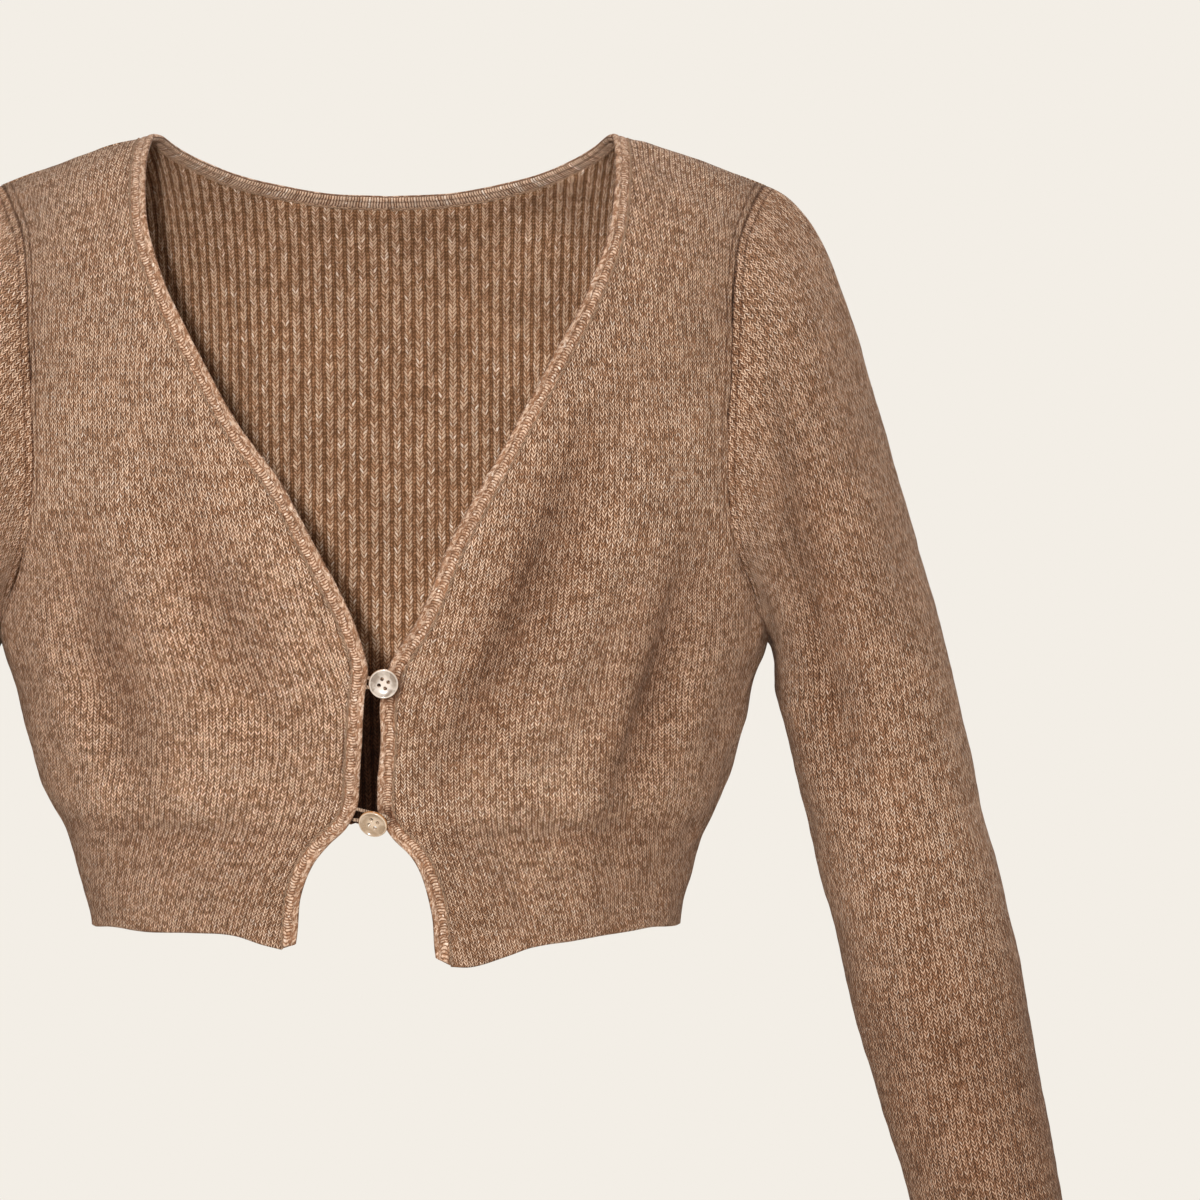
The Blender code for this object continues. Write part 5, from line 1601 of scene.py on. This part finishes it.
@dataclass
class Sleeve(Piece):
    """A sleeve: a tube from the armhole over the cap and down the arm."""

    side: int = 1
    name: str = "knit_sleeve_left"
    around: int = 60  # grid columns on each half of the armhole
    cap: int = 70
    arm: int = 130
    passes: int = 2600  # rounds of easing the stitch map

    def build(self) -> None:
        """Makes the sleeve.

        Above the arm's first ring each line is the cubic between the armhole and that ring, with
        the direction in which the cloth leaves the armhole at one end and the arm's at the other.
        """
        halves = [self._half(FRONT_ARMHOLE, 1), self._half(BACK_ARMHOLE, -1)]
        points, start, angles = (np.concatenate([a[:-1], b[:0:-1]]) for a, b in zip(*halves))
        first = self.ring(np.zeros(1), angles)[0]
        length = np.linalg.norm(first - points, axis=1)[:, None]
        t = ((np.arange(self.cap) / self.cap) ** CAP_CROWDING)[:, None, None]
        cap = (2 * t**3 - 3 * t**2 + 1) * points + (t**3 - 2 * t**2 + t) * start * length * CAP_START
        cap = cap + (3 * t**2 - 2 * t**3) * first + (t**3 - t**2) * SLEEVE_DOWN * length * CAP_END
        drawn = 16 * t**2 * (1 - t) ** 2 * CAP_DRAW * (1 - np.cos(angles))[:, None] / 2
        cap = cap - drawn * SLEEVE_AWAY
        arm = self.ring(np.linspace(0, ARM[-1].distance, self.arm + 1), angles)
        middle = np.concatenate([cap, arm])
        normal = -grid_normals(middle, joined=True)
        fade = np.clip(np.arange(len(middle))[:, None] / (0.3 * self.cap), 0, 1)
        front = relief(middle, SLEEVE_FRONT_FOLDS) * np.clip(-normal[..., 1] * 2, 0, 1)
        back = relief(middle, SLEEVE_BACK_FOLDS) * np.clip(normal[..., 1] * 2, 0, 1)
        uneven = UNEVEN * ripple(middle, 0.045, 7 + self.side)
        uneven = uneven + FINE_UNEVEN * ripple(middle, 0.010, 9 + self.side)
        lifted = middle + normal * ((front + back + uneven) * smooth(fade))[..., None]
        normal = -grid_normals(lifted, joined=True)
        outer = mirrored(lifted + normal * WALL / 2, self.side)
        inner = mirrored(lifted - normal * WALL / 2, self.side)
        seam = arc(middle)
        # Painted shade of the upper folds on the sleeve's front, over the whole sleeve and more down the
        # forearm
        folds = [fold for fold in SLEEVE_FRONT_FOLDS if fold.z0 > -0.3]
        painted_shade = SLEEVE_SHARE * painted_fold_shade(middle, (front + back) * smooth(fade), folds)
        painted_shade = painted_shade + SLEEVE_SHADE + FOREARM_SHADE.at(middle)
        stitches = self.stitches(middle, seam)
        wall = Wall(self.name, outer, inner, stitches, seam, painted_shade, 0.0, True, Rim.SEAM, Rim.ROUND)
        self.made = wall.build(WOOL.material(f"{self.name}_wool", Stitch.PLAIN))

    def _half(self, armhole: Sequence[Point], side: int) -> tuple[np.ndarray, np.ndarray, np.ndarray]:
        """Points on half an armhole, the cloth's direction there, and their angles on the arm.

        Args:
            armhole: The armhole's points.
            side: 1 at the front, -1 at the back.

        Returns:
            The points, the directions and the angles.
        """
        places = Torso.spaced(Torso.armhole(armhole, side), rounds(self.around))
        points = Torso.at(places)
        length = arc(points)
        angles = side * math.pi * length / length[-1]
        fullness = np.stack([np.ones(len(points)), -CAP_FULLNESS * np.sin(angles), 0 * angles], axis=-1)
        first = self.ring(np.zeros(1), angles)[0]
        return points, unit(fullness + CAP_SLOPE * unit(first - points)), angles

    @staticmethod
    def ring(distances: np.ndarray, angles: np.ndarray) -> np.ndarray:
        """Points round the arm at distances below its first ring; angle 0 faces the body.

        Args:
            distances: Distances down the arm.
            angles: Angles round it.

        Returns:
            A row of points for each distance.
        """
        forward = np.array([0.0, -1.0, 0.0])
        reach = distances[:, None, None]
        centre = np.array(SLEEVE_TOP) + SLEEVE_DOWN * reach + forward * along(ARM, "forward", reach)
        across = -SLEEVE_AWAY * along(ARM, "width", reach) / 2 * np.cos(angles)[:, None]
        return centre + across + forward * along(ARM, "depth", reach) / 2 * np.sin(angles)[:, None]

    def stitches(self, middle: np.ndarray, seam: np.ndarray) -> np.ndarray:
        """Stitch columns from the sleeve's outer line round, and rows from the arm's first ring.

        The columns run down the arm, and lean away from the body near the armhole. Between
        neighbours the map's wanted steps are the distances along and across the columns, over a
        stitch's size. The map that has these steps as nearly as it can is found by moving every
        point to the mean of what its neighbours want, again and again.

        Args:
            middle: Grid of points.
            seam: Their distance from the armhole.

        Returns:
            Pairs of a column's and a row's number.
        """
        normal = grid_normals(middle, joined=True)
        column = unit(SLEEVE_DOWN - np.sum(normal * SLEEVE_DOWN, axis=-1, keepdims=True) * normal)
        across = np.cross(column, normal)
        lean = CAP_LEAN * np.exp(-((seam / CAP_LEAN_REACH) ** 2))[..., None]
        column = unit(column + lean * np.sum(SLEEVE_AWAY * across, axis=-1, keepdims=True) * across)
        across = np.cross(column, normal)
        size = np.array([WALE, -COURSE])
        axes = np.stack([across, column], axis=-2)
        steps = []
        for axis in (0, 1):
            step = np.diff(middle, axis=axis)
            near = (np.take(axes, range(1, axes.shape[axis]), axis) + np.delete(axes, -1, axis)) / 2
            steps.append(np.sum(near * step[..., None, :], axis=-1) / size)
        around = arc(middle, axis=1)
        top = middle.shape[1] // 2
        along_arm = arc(middle)
        sense = np.sign(np.sum(steps[1][..., 0]))
        steps = [step * (sense, 1.0) for step in steps]
        columns = (around - around[:, top : top + 1]) / WALE
        places = np.stack([columns, (along_arm[self.cap] - along_arm) / COURSE], axis=-1)
        count = np.full(places.shape, 4.0)
        count[[0, -1]] -= 1
        count[:, [0, -1]] -= 1
        for _ in range(self.passes):
            wanted = np.zeros_like(places)
            wanted[1:] += places[:-1] + steps[0]
            wanted[:-1] += places[1:] - steps[0]
            wanted[:, 1:] += places[:, :-1] + steps[1]
            wanted[:, :-1] += places[:, 1:] - steps[1]
            places = wanted / count
        return places - places[-1, top]


@dataclass
class Band(Piece):
    """The edge band: a rolled outer edge, a ladder of stitches and the seam."""

    stations: int = 330
    uneven: float = 0.05  # how much its thickness varies
    wander: float = 0.00016  # how far its outer edge strays
    inner_side: float = -0.63  # the stitch column of its inner side

    OUTLINE = (
        (0.0, 0.0), (0.02, 0.75), (0.08, 1.35), (0.18, 1.72), (0.28, 1.70), (0.37, 1.35),
        (0.43, 1.02), (0.52, 1.25), (0.66, 1.38), (0.80, 1.18), (0.90, 0.92), (0.98, 0.90),
    )  # share of its width and half its thickness in millimetres, from the outer edge to the seam

    def build(self) -> None:
        """Makes the band by carrying its outline up one front, round the neck and down the other."""
        halves = [self._half(form) for form in (LEFT_FRONT, RIGHT_FRONT)]
        points, across, through = (
            np.concatenate([a[:-1], mirrored(b, -1)[::-1]]) for a, b in zip(*halves)
        )
        length = arc(points)
        upper = np.array(self.OUTLINE) / (1, 1000)
        outline = np.concatenate([upper, (upper * (1, -1))[:0:-1]])
        share_of = outline[:, 0]
        outline = np.broadcast_to(outline, (len(points), *outline.shape)).copy()
        outline[..., 1] *= 1 + self.uneven * ripple(points, 0.016, 31)[:, None]
        wander = self.wander * ripple(points, 0.020, 32) / BAND_WIDTH
        outline[..., 0] += wander[:, None] * (1 - outline[..., 0]) ** 2
        inside = np.arange(outline.shape[1]) > len(upper)
        column = np.broadcast_to(np.where(inside, self.inner_side, share_of), outline.shape[:2])
        row = np.broadcast_to(length[:, None] / BAND_COURSE, outline.shape[:2])
        stitches = np.stack([column, row], axis=-1)
        wool = BAND_WOOL.material("edge_band_wool", Stitch.EDGE)
        self.made = tube("rolled_edge_band", points, across, through, outline, stitches, wool)
        # The buttons' painted shadows on the band
        mark(self.made, "painted_shade", np.repeat(shadows(points + across / 2), outline.shape[1]))

    def _half(self, form: FrontForm) -> tuple[np.ndarray, np.ndarray, np.ndarray]:
        """The band's outer line on one side, its width and its outward direction, hem to nape.

        Args:
            form: The front on that side.

        Returns:
            The points, the widths and the directions.
        """
        outer_front, inner_front = form.edges()
        outer_neck, inner_neck = neck_lines(29)
        pairs = ((outer_front, outer_neck), (inner_front, inner_neck))
        coarse = [np.concatenate([front, neck[1:]]) for front, neck in pairs]
        length = arc(Torso.at(coarse[0]))
        at = np.linspace(0, length[-1], self.stations)
        outer, inner = (read_path(line, length, at) for line in coarse)
        points = Torso.at(outer)
        return points, Torso.at(inner) - points, Torso.frame(inner)[2]


@dataclass
class Chain(Piece):
    """The line of linking stitches along the band's seam: a row of short slanted strands."""

    pitch: float = 0.0042
    spacing: float = 0.86  # of the strands along the seam, over the pitch
    reach: float = 0.56  # half a strand's length over the pitch
    slant: float = 0.22
    over_front: float = 0.0009  # height over the front's middle
    over_back: float = 0.0011
    radius: float = 0.00062
    # Painted shade for lying deep between the band and the front
    shade: float = 0.34  # how deep it lies between the band and the front, as a fold's shade

    def build(self) -> None:
        """Makes the strands: each is an ellipsoid, long along the seam and turned a little off it."""
        lines = [self._line(LEFT_FRONT), self._line(RIGHT_FRONT), self._neck()]
        parts = [self._strands(*line) for line in lines]
        starts = np.cumsum([0] + [len(points) for points, _, _ in parts])
        points, faces, stitches = (np.concatenate([part[k] for part in parts]) for k in range(3))
        faces = faces + np.repeat(starts[:-1], [len(part[1]) for part in parts])[:, None]
        wool = CHAIN_WOOL.material("linking_wool", Stitch.CORD)
        self.made = solid("linking_stitches", points, faces.tolist(), stitches, wool)
        # The buttons' painted shadows, plus painted shade for lying between band and front
        mark(self.made, "painted_shade", shadows(points) + self.shade)

    def _line(self, form: FrontForm) -> tuple[np.ndarray, np.ndarray]:
        """Points on a front's outer face along its seam, and the direction out of the cloth.

        Args:
            form: The front.

        Returns:
            The points and the directions.
        """
        inner = form.edges()[1]
        length = arc(Torso.at(inner))
        at = np.arange(0.002, length[-1] - 0.002, self.pitch * self.spacing)
        places = read_path(inner, length, at)
        out = Torso.frame(places)[2]
        return mirrored(Torso.at(places) + out * self.over_front, form.side), mirrored(out, form.side)

    def _neck(self) -> tuple[np.ndarray, np.ndarray]:
        """Points on the back's inner face along the neck seam, and the direction into the body.

        Returns:
            The points and the directions.
        """
        seam = neck_lines(120)[1]
        length = arc(Torso.at(seam))
        at = np.arange(0.001, length[-1], self.pitch * self.spacing)
        places = read_path(seam, length, at)
        points, out = Torso.at(places), -Torso.frame(places)[2]
        both = [np.concatenate([mirrored(a, -1), a[::-1]]) for a in (points + out * self.over_back, out)]
        return both[0], both[1]

    def _strands(self, points: np.ndarray, out: np.ndarray) -> tuple[np.ndarray, np.ndarray, np.ndarray]:
        """Points, faces and stitch places of the strands on one line.

        Args:
            points: Points on the line.
            out: The direction out of the cloth at each.

        Returns:
            The points, the faces and the stitch places.
        """
        heading = unit(np.gradient(points, axis=0))
        aside = unit(np.cross(out, heading))
        heading = unit(heading + aside * self.slant)
        aside = unit(np.cross(out, heading))
        random = np.random.default_rng(11)
        size = self.radius * random.uniform(0.85, 1.2, (len(points), 1, 1))
        down = np.linspace(0.08, math.pi - 0.08, 8)[:, None]
        turn = np.linspace(0, 2 * math.pi, 9)[:-1][None]
        girth = np.sin(down)
        shape = np.stack([np.cos(down) + 0 * turn, girth * np.cos(turn), girth * np.sin(turn)], axis=-1)
        shape = shape.reshape(-1, 3)
        grid = points[:, None] + heading[:, None] * shape[None, :, :1] * self.pitch * self.reach
        grid = grid + (aside[:, None] * shape[None, :, 1:2] + out[:, None] * shape[None, :, 2:]) * size
        faces = quads(8, 8)[None] + len(shape) * np.arange(len(points))[:, None, None]
        place = np.stack([shape[:, 1] * 0.5, shape[:, 0] * 1.5], axis=-1)
        return grid.reshape(-1, 3), faces.reshape(-1, 4), np.tile(place, (len(points), 1))


# The buttons' painted shadow on the cloth: its strength, the width of its soft edge and its shift
SHADOW_DEPTH = 1.5
SHADOW_EDGE = 0.0052  # width of its soft edge
SHADOW_SHIFT = Point(0.0010, -0.0014)


class Fastening(NamedTuple):
    """A button's centre, lift, tilt in degrees and stem, and where its loop leaves the other edge."""

    name: str
    x: float
    z: float
    lift: float
    yaw: float
    pitch: float
    stem: float
    loop_x: float
    high_end: float
    low_x: float
    low_end: float

    def axes(self) -> tuple[np.ndarray, np.ndarray, np.ndarray, np.ndarray]:
        """Its place on the fronts and the axes right, up and out of the cloth.

        Returns:
            The place and the three axes.
        """
        place = Torso.located(self.x, self.z, 1)
        out = Torso.frame(place)[2]
        right = unit(np.array([1, 0, 0]) - out[0] * out)
        return Torso.at(place), right, np.cross(out, right), out

    def shadow(self, points: np.ndarray) -> np.ndarray:
        """Painted shadow of the button on cloth, as a share of the light: a soft disc, a little below it."""
        away = points[..., [0, 2]] - (self.x + SHADOW_SHIFT.x, self.z + SHADOW_SHIFT.z)
        return SHADOW_DEPTH * smooth(1.9 - np.linalg.norm(away, axis=-1) / SHADOW_EDGE)

    def tilt(self) -> Matrix:
        """How the button is turned from the cloth."""
        yaw = Matrix.Rotation(math.radians(self.yaw), 3, "Y")
        return yaw @ Matrix.Rotation(math.radians(self.pitch), 3, "X")


UPPER = Fastening("upper", 0.0036, -0.2542, 0.0038, 0.0, 2.0, 0.0, -0.0036, 0.0022, -0.0041, -0.0022)
LOWER = Fastening("lower", -0.0016, -0.3200, 0.0042, -14.0, 11.0, 0.0042, -0.0090, 0.0048, -0.0102, -0.0006)


def shadows(points: np.ndarray) -> np.ndarray:
    """The painted shadow of both buttons, whichever is the stronger."""
    return np.maximum(UPPER.shadow(points), LOWER.shadow(points))


@dataclass
class Button(Piece):
    """A four-holed dished button on a stem of thread."""

    place: Fastening = UPPER
    finish: Pearl = COLD_PEARL
    sides: int = 72
    hole_radius: float = 0.00092
    hole_place: float = 0.00230  # distance of a hole's centre from the button's
    hole_turn: float = 19  # degrees from the button's right to the first hole
    sharp: float = 38  # degrees at an edge from which it isn't smoothed

    OUTLINE = (
        (0.0, 0.0), (5.2, 0.0), (5.9, 0.12), (6.5, 0.5), (6.85, 1.0), (7.0, 1.5), (6.97, 1.95), (6.85, 2.3),
        (6.62, 2.55), (6.36, 2.62), (6.12, 2.55), (5.92, 2.36), (5.6, 2.08), (5.1, 1.86), (4.4, 1.68),
        (3.4, 1.52), (2.0, 1.44), (0.0, 1.42),
    )  # radius and height in millimetres, from the middle of its back to the middle of its face

    def build(self) -> None:
        """Turns the outline round its axis, bores the four holes and sets the button in place."""
        outline = np.array(self.OUTLINE) / 1000
        radius, height = outline[:, :1], outline[:, 1:]
        angles = np.arange(self.sides)[None] * 2 * math.pi / self.sides
        grid = np.stack([radius * np.cos(angles), radius * np.sin(angles), height + 0 * angles], -1)
        shares = np.repeat(outline / outline.max(axis=0), self.sides, axis=0)
        name = f"pearl_button_{self.place.name}"
        faces = quads(len(outline), self.sides).tolist()
        piece = solid(name, grid.reshape(-1, 3), faces, shares, self.finish.material(name))
        self._weld(piece)
        for k in range(4):
            angle = math.radians(self.hole_turn) + k * QUARTER
            self._bore(piece, self.hole_place * math.cos(angle), self.hole_place * math.sin(angle))
        piece.data.set_sharp_from_angle(angle=math.radians(self.sharp))
        centre, right, up, out = self.place.axes()
        frame_of_button = Matrix((right, up, out)).transposed().to_4x4()
        frame_of_button.translation = Vector(centre + out * self.place.lift)
        piece.data.transform(frame_of_button @ self.place.tilt().to_4x4())
        piece.data.update()
        self.made = piece

    @staticmethod
    def _weld(piece: bpy.types.Object) -> None:
        """Joins the points at the two poles and turns the faces outwards.

        Args:
            piece: The button.
        """
        shape = bmesh.new()
        shape.from_mesh(piece.data)
        bmesh.ops.remove_doubles(shape, verts=shape.verts, dist=1e-6)
        bmesh.ops.dissolve_degenerate(shape, edges=shape.edges, dist=1e-7)
        bmesh.ops.recalc_face_normals(shape, faces=shape.faces)
        shape.to_mesh(piece.data)
        shape.free()

    def _bore(self, piece: bpy.types.Object, x: float, y: float) -> None:
        """Cuts one round hole through the button.

        Args:
            piece: The button.
            x: The hole's place to the right.
            y: Its place upwards.
        """
        size = {"radius": self.hole_radius, "depth": 0.008}
        bpy.ops.mesh.primitive_cylinder_add(vertices=24, location=(x, y, 0.001), **size)
        drill = bpy.context.object
        change = piece.modifiers.new("bore", "BOOLEAN")
        change.operation, change.object, change.solver = "DIFFERENCE", drill, "EXACT"
        bpy.context.view_layer.update()
        done = piece.evaluated_get(bpy.context.evaluated_depsgraph_get())
        mesh = bpy.data.meshes.new_from_object(done)
        piece.modifiers.clear()
        piece.data = mesh
        bpy.data.objects.remove(drill)


@dataclass
class Loop(Piece):
    """A yarn loop from the other front's edge round the button's stem."""

    place: Fastening = UPPER
    stations: int = 90
    cord: float = 0.00082
    lift: float = 0.00275  # height of its round part over the cloth
    ring: float = 0.00225  # radius of its round part
    tuck: float = 0.0012  # length of its ends inside the edge
    twist: float = 0.0011  # length of the cord's twist

    def build(self) -> None:
        """Makes the loop: a round cord along a smooth curve through its knots."""
        centre, right, up, out = self.place.axes()
        turned = self.place.tilt()
        top = turned @ Vector((self.place.stem, 0, 0))
        down = turned @ Vector((0, 0, -1))
        stem_x, stem_y, _ = top + down * (self.place.lift + top.z - self.lift) / -down.z
        route = [(stem_x + self.ring, stem_y, self.lift)]
        for start, end, ring, middle in (
            (self.place.loop_x, self.place.high_end, self.ring, ((0.3, 0.45), (0.65, 0.80))),
            (self.place.low_x, self.place.low_end, -self.ring, ((0.3, 0.33), (0.65, 0.66))),
        ):
            start = start - self.place.x
            leg = [
                (start + share * (stem_x - start), end + share * (stem_y + ring - end), self.lift * rise)
                for share, rise in ((0.0, 0.10), *middle, (1.0, 1.0))
            ]
            leg = [(start - self.tuck, end, -0.0002), *leg]
            route = [*leg, *route] if ring > 0 else [*route, *leg[::-1]]
        route = refined(np.array(route), self.stations)
        points = centre + route[:, :1] * right + route[:, 1:2] * up + route[:, 2:] * out
        heading = unit(np.gradient(points, axis=0))
        sideways = unit(np.cross(heading, out))
        angles = np.linspace(0, 2 * math.pi, 13)[:-1]
        outline = self.cord * np.stack([np.cos(angles), np.sin(angles)], -1)
        outline = np.broadcast_to(outline, (self.stations, *outline.shape))
        turns = np.broadcast_to(angles / (2 * math.pi), outline.shape[:2])
        rows_along = np.broadcast_to(arc(points)[:, None] / self.twist, outline.shape[:2])
        self.made = tube(
            f"yarn_loop_{self.place.name}",
            points,
            sideways,
            np.cross(sideways, heading),
            outline,
            np.stack([turns, rows_along], axis=-1),
            SHADED_LOOP_WOOL.material(f"loop_wool_{self.place.name}", Stitch.CORD),
        )


# ---------------------------------------------------------------- the studio


@dataclass
class Studio:
    """The camera, the soft lights and the pale backdrop."""

    aim: tuple[float, float, float] = (0.1049, 0.0, -0.2259)
    distance: float = 3.0
    elevation: float = math.radians(5)
    seen: float = 0.5856  # width of the frame at the aim, in metres
    sensor: float = 36.0
    floor_radius: float = 2.6
    floor_height: float = -1.36
    surround: float = 0.39
    lamps: tuple[tuple[str, tuple[float, float, float], float, float], ...] = (
        ("front", (-0.15, -5.20, 0.60), 0.22, 247.0),
        ("left", (-4.20, -2.60, 1.50), 1.1, 15.0),
        ("right", (4.20, -2.60, 1.00), 1.1, 7.0),
        ("high", (0.0, -2.60, 4.20), 1.4, 15.0),
        ("top", (0.4, 1.2, 2.8), 1.0, 36.0),
        ("back", (1.2, 3.4, 1.0), 1.4, 44.0),
    )  # name, place, diameter and power

    def build(self) -> None:
        """Makes all of it."""
        self._camera()
        self._floor()
        self._surround()
        self._lights()
        bpy.context.scene.view_settings.view_transform = "Standard"

    def _camera(self) -> None:
        """A long lens, a little above the aim."""
        data = bpy.data.cameras.new("camera")
        data.sensor_width = self.sensor
        data.lens = self.sensor * self.distance / self.seen
        camera = bpy.data.objects.new("camera", data)
        offset = Vector((0, -math.cos(self.elevation), math.sin(self.elevation))) * self.distance
        camera.location = Vector(self.aim) + offset
        camera.rotation_euler = (QUARTER - self.elevation, 0, 0)
        bpy.context.scene.collection.objects.link(camera)
        bpy.context.scene.camera = camera

    def _floor(self) -> None:
        """A round pale floor, at the height that it has below a worn garment."""
        rings, sides = 24, 96
        radius = np.linspace(0.0, self.floor_radius, rings)[1:, None]
        angle = np.linspace(0, 2 * math.pi, sides, endpoint=False)[None]
        height = self.floor_height - 0.10 * smooth((radius - 2.3) / 0.3)
        grid = np.stack([radius * np.cos(angle), radius * np.sin(angle), height + 0 * angle], -1)
        faces = [list(range(sides)), *quads(rings - 1, sides)[:, ::-1].tolist()]
        graph = Graph("floor_paint")
        grain = graph.noise(graph.place, 3.0, 2.0)
        colour = graph.blend(grain, (0.585, 0.555, 0.512, 1.0), (0.600, 0.570, 0.526, 1.0))
        graph.feed(graph.shader, {"Base Color": colour, "Roughness": 1.0, "Specular IOR Level": 0.0})
        points = grid.reshape(-1, 3)
        solid("floor", points, faces, points[:, :2], graph.material)

    def _surround(self) -> None:
        """Pale paper all round, lit much more brightly than the light that it gives back."""
        world = bpy.data.worlds.new("surround")
        world.use_nodes = True
        nodes, links = world.node_tree.nodes, world.node_tree.links
        seen = nodes["Background"]
        seen.inputs[0].default_value = (0.896, 0.855, 0.791, 1.0)
        given = nodes.new("ShaderNodeBackground")
        given.inputs[0].default_value = (1.0, 0.975, 0.94, 1.0)
        given.inputs[1].default_value = self.surround
        path = nodes.new("ShaderNodeLightPath")
        mix = nodes.new("ShaderNodeMixShader")
        links.new(path.outputs["Is Camera Ray"], mix.inputs[0])
        links.new(given.outputs[0], mix.inputs[1])
        links.new(seen.outputs[0], mix.inputs[2])
        links.new(mix.outputs[0], nodes["World Output"].inputs[0])
        bpy.context.scene.world = world

    def _lights(self) -> None:
        """A small strong lamp near the camera, and weak wide ones all round, over and behind."""
        for name, place, size, energy in self.lamps:
            data = bpy.data.lights.new(name, "AREA")
            data.shape, data.size, data.energy = "DISK", size, energy
            lamp = bpy.data.objects.new(name, data)
            lamp.location = place
            lamp.rotation_euler = (Vector(self.aim) - Vector(place)).to_track_quat("-Z", "Y").to_euler()
            bpy.context.scene.collection.objects.link(lamp)


@dataclass
class Cardigan:
    """The whole cardigan."""

    pieces: tuple[Piece, ...] = (
        Front(("front_left",), "knit_front_left", (0.245, 0.405), 0.60, form=LEFT_FRONT),
        Front(("front_right",), "knit_front_right", (0.235, 0.400), 0.61, form=RIGHT_FRONT),
        Back(("back",), "rib_back", (0.47, 0.38), 0.80),
        Sleeve(("sleeve_left",), "knit_sleeve_left", (0.31, 0.60), 0.77),
        Sleeve(("sleeve_right",), "knit_sleeve_right", (0.31, 0.60), 0.77, side=-1, name="knit_sleeve_right"),
        Band(("edge_band",), "knit_band", (0.0105, 1.24)),
        Chain((), "knit_band"),
        Button(("button_upper",), "pearl_upper", place=UPPER, finish=COLD_PEARL),
        Button(("button_lower",), "pearl_lower", place=LOWER, finish=WARM_PEARL),
        Loop(("button_loop_upper",), "cord_upper", place=UPPER),
        Loop(("button_loop_lower",), "cord_lower", place=LOWER),
    )

    def build(self) -> None:
        """Makes and declares every piece."""
        for piece in self.pieces:
            piece.build()
            piece.declare()
            LOG.info("%s: %d faces", piece.made.name, len(piece.made.data.polygons))


def main() -> None:
    """Builds the studio and the cardigan."""
    logging.basicConfig(level=logging.INFO, format="%(name)s: %(message)s")
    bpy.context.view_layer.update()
    Studio().build()
    Cardigan().build()
    bpy.context.view_layer.update()


if __name__ == "__main__":
    main()
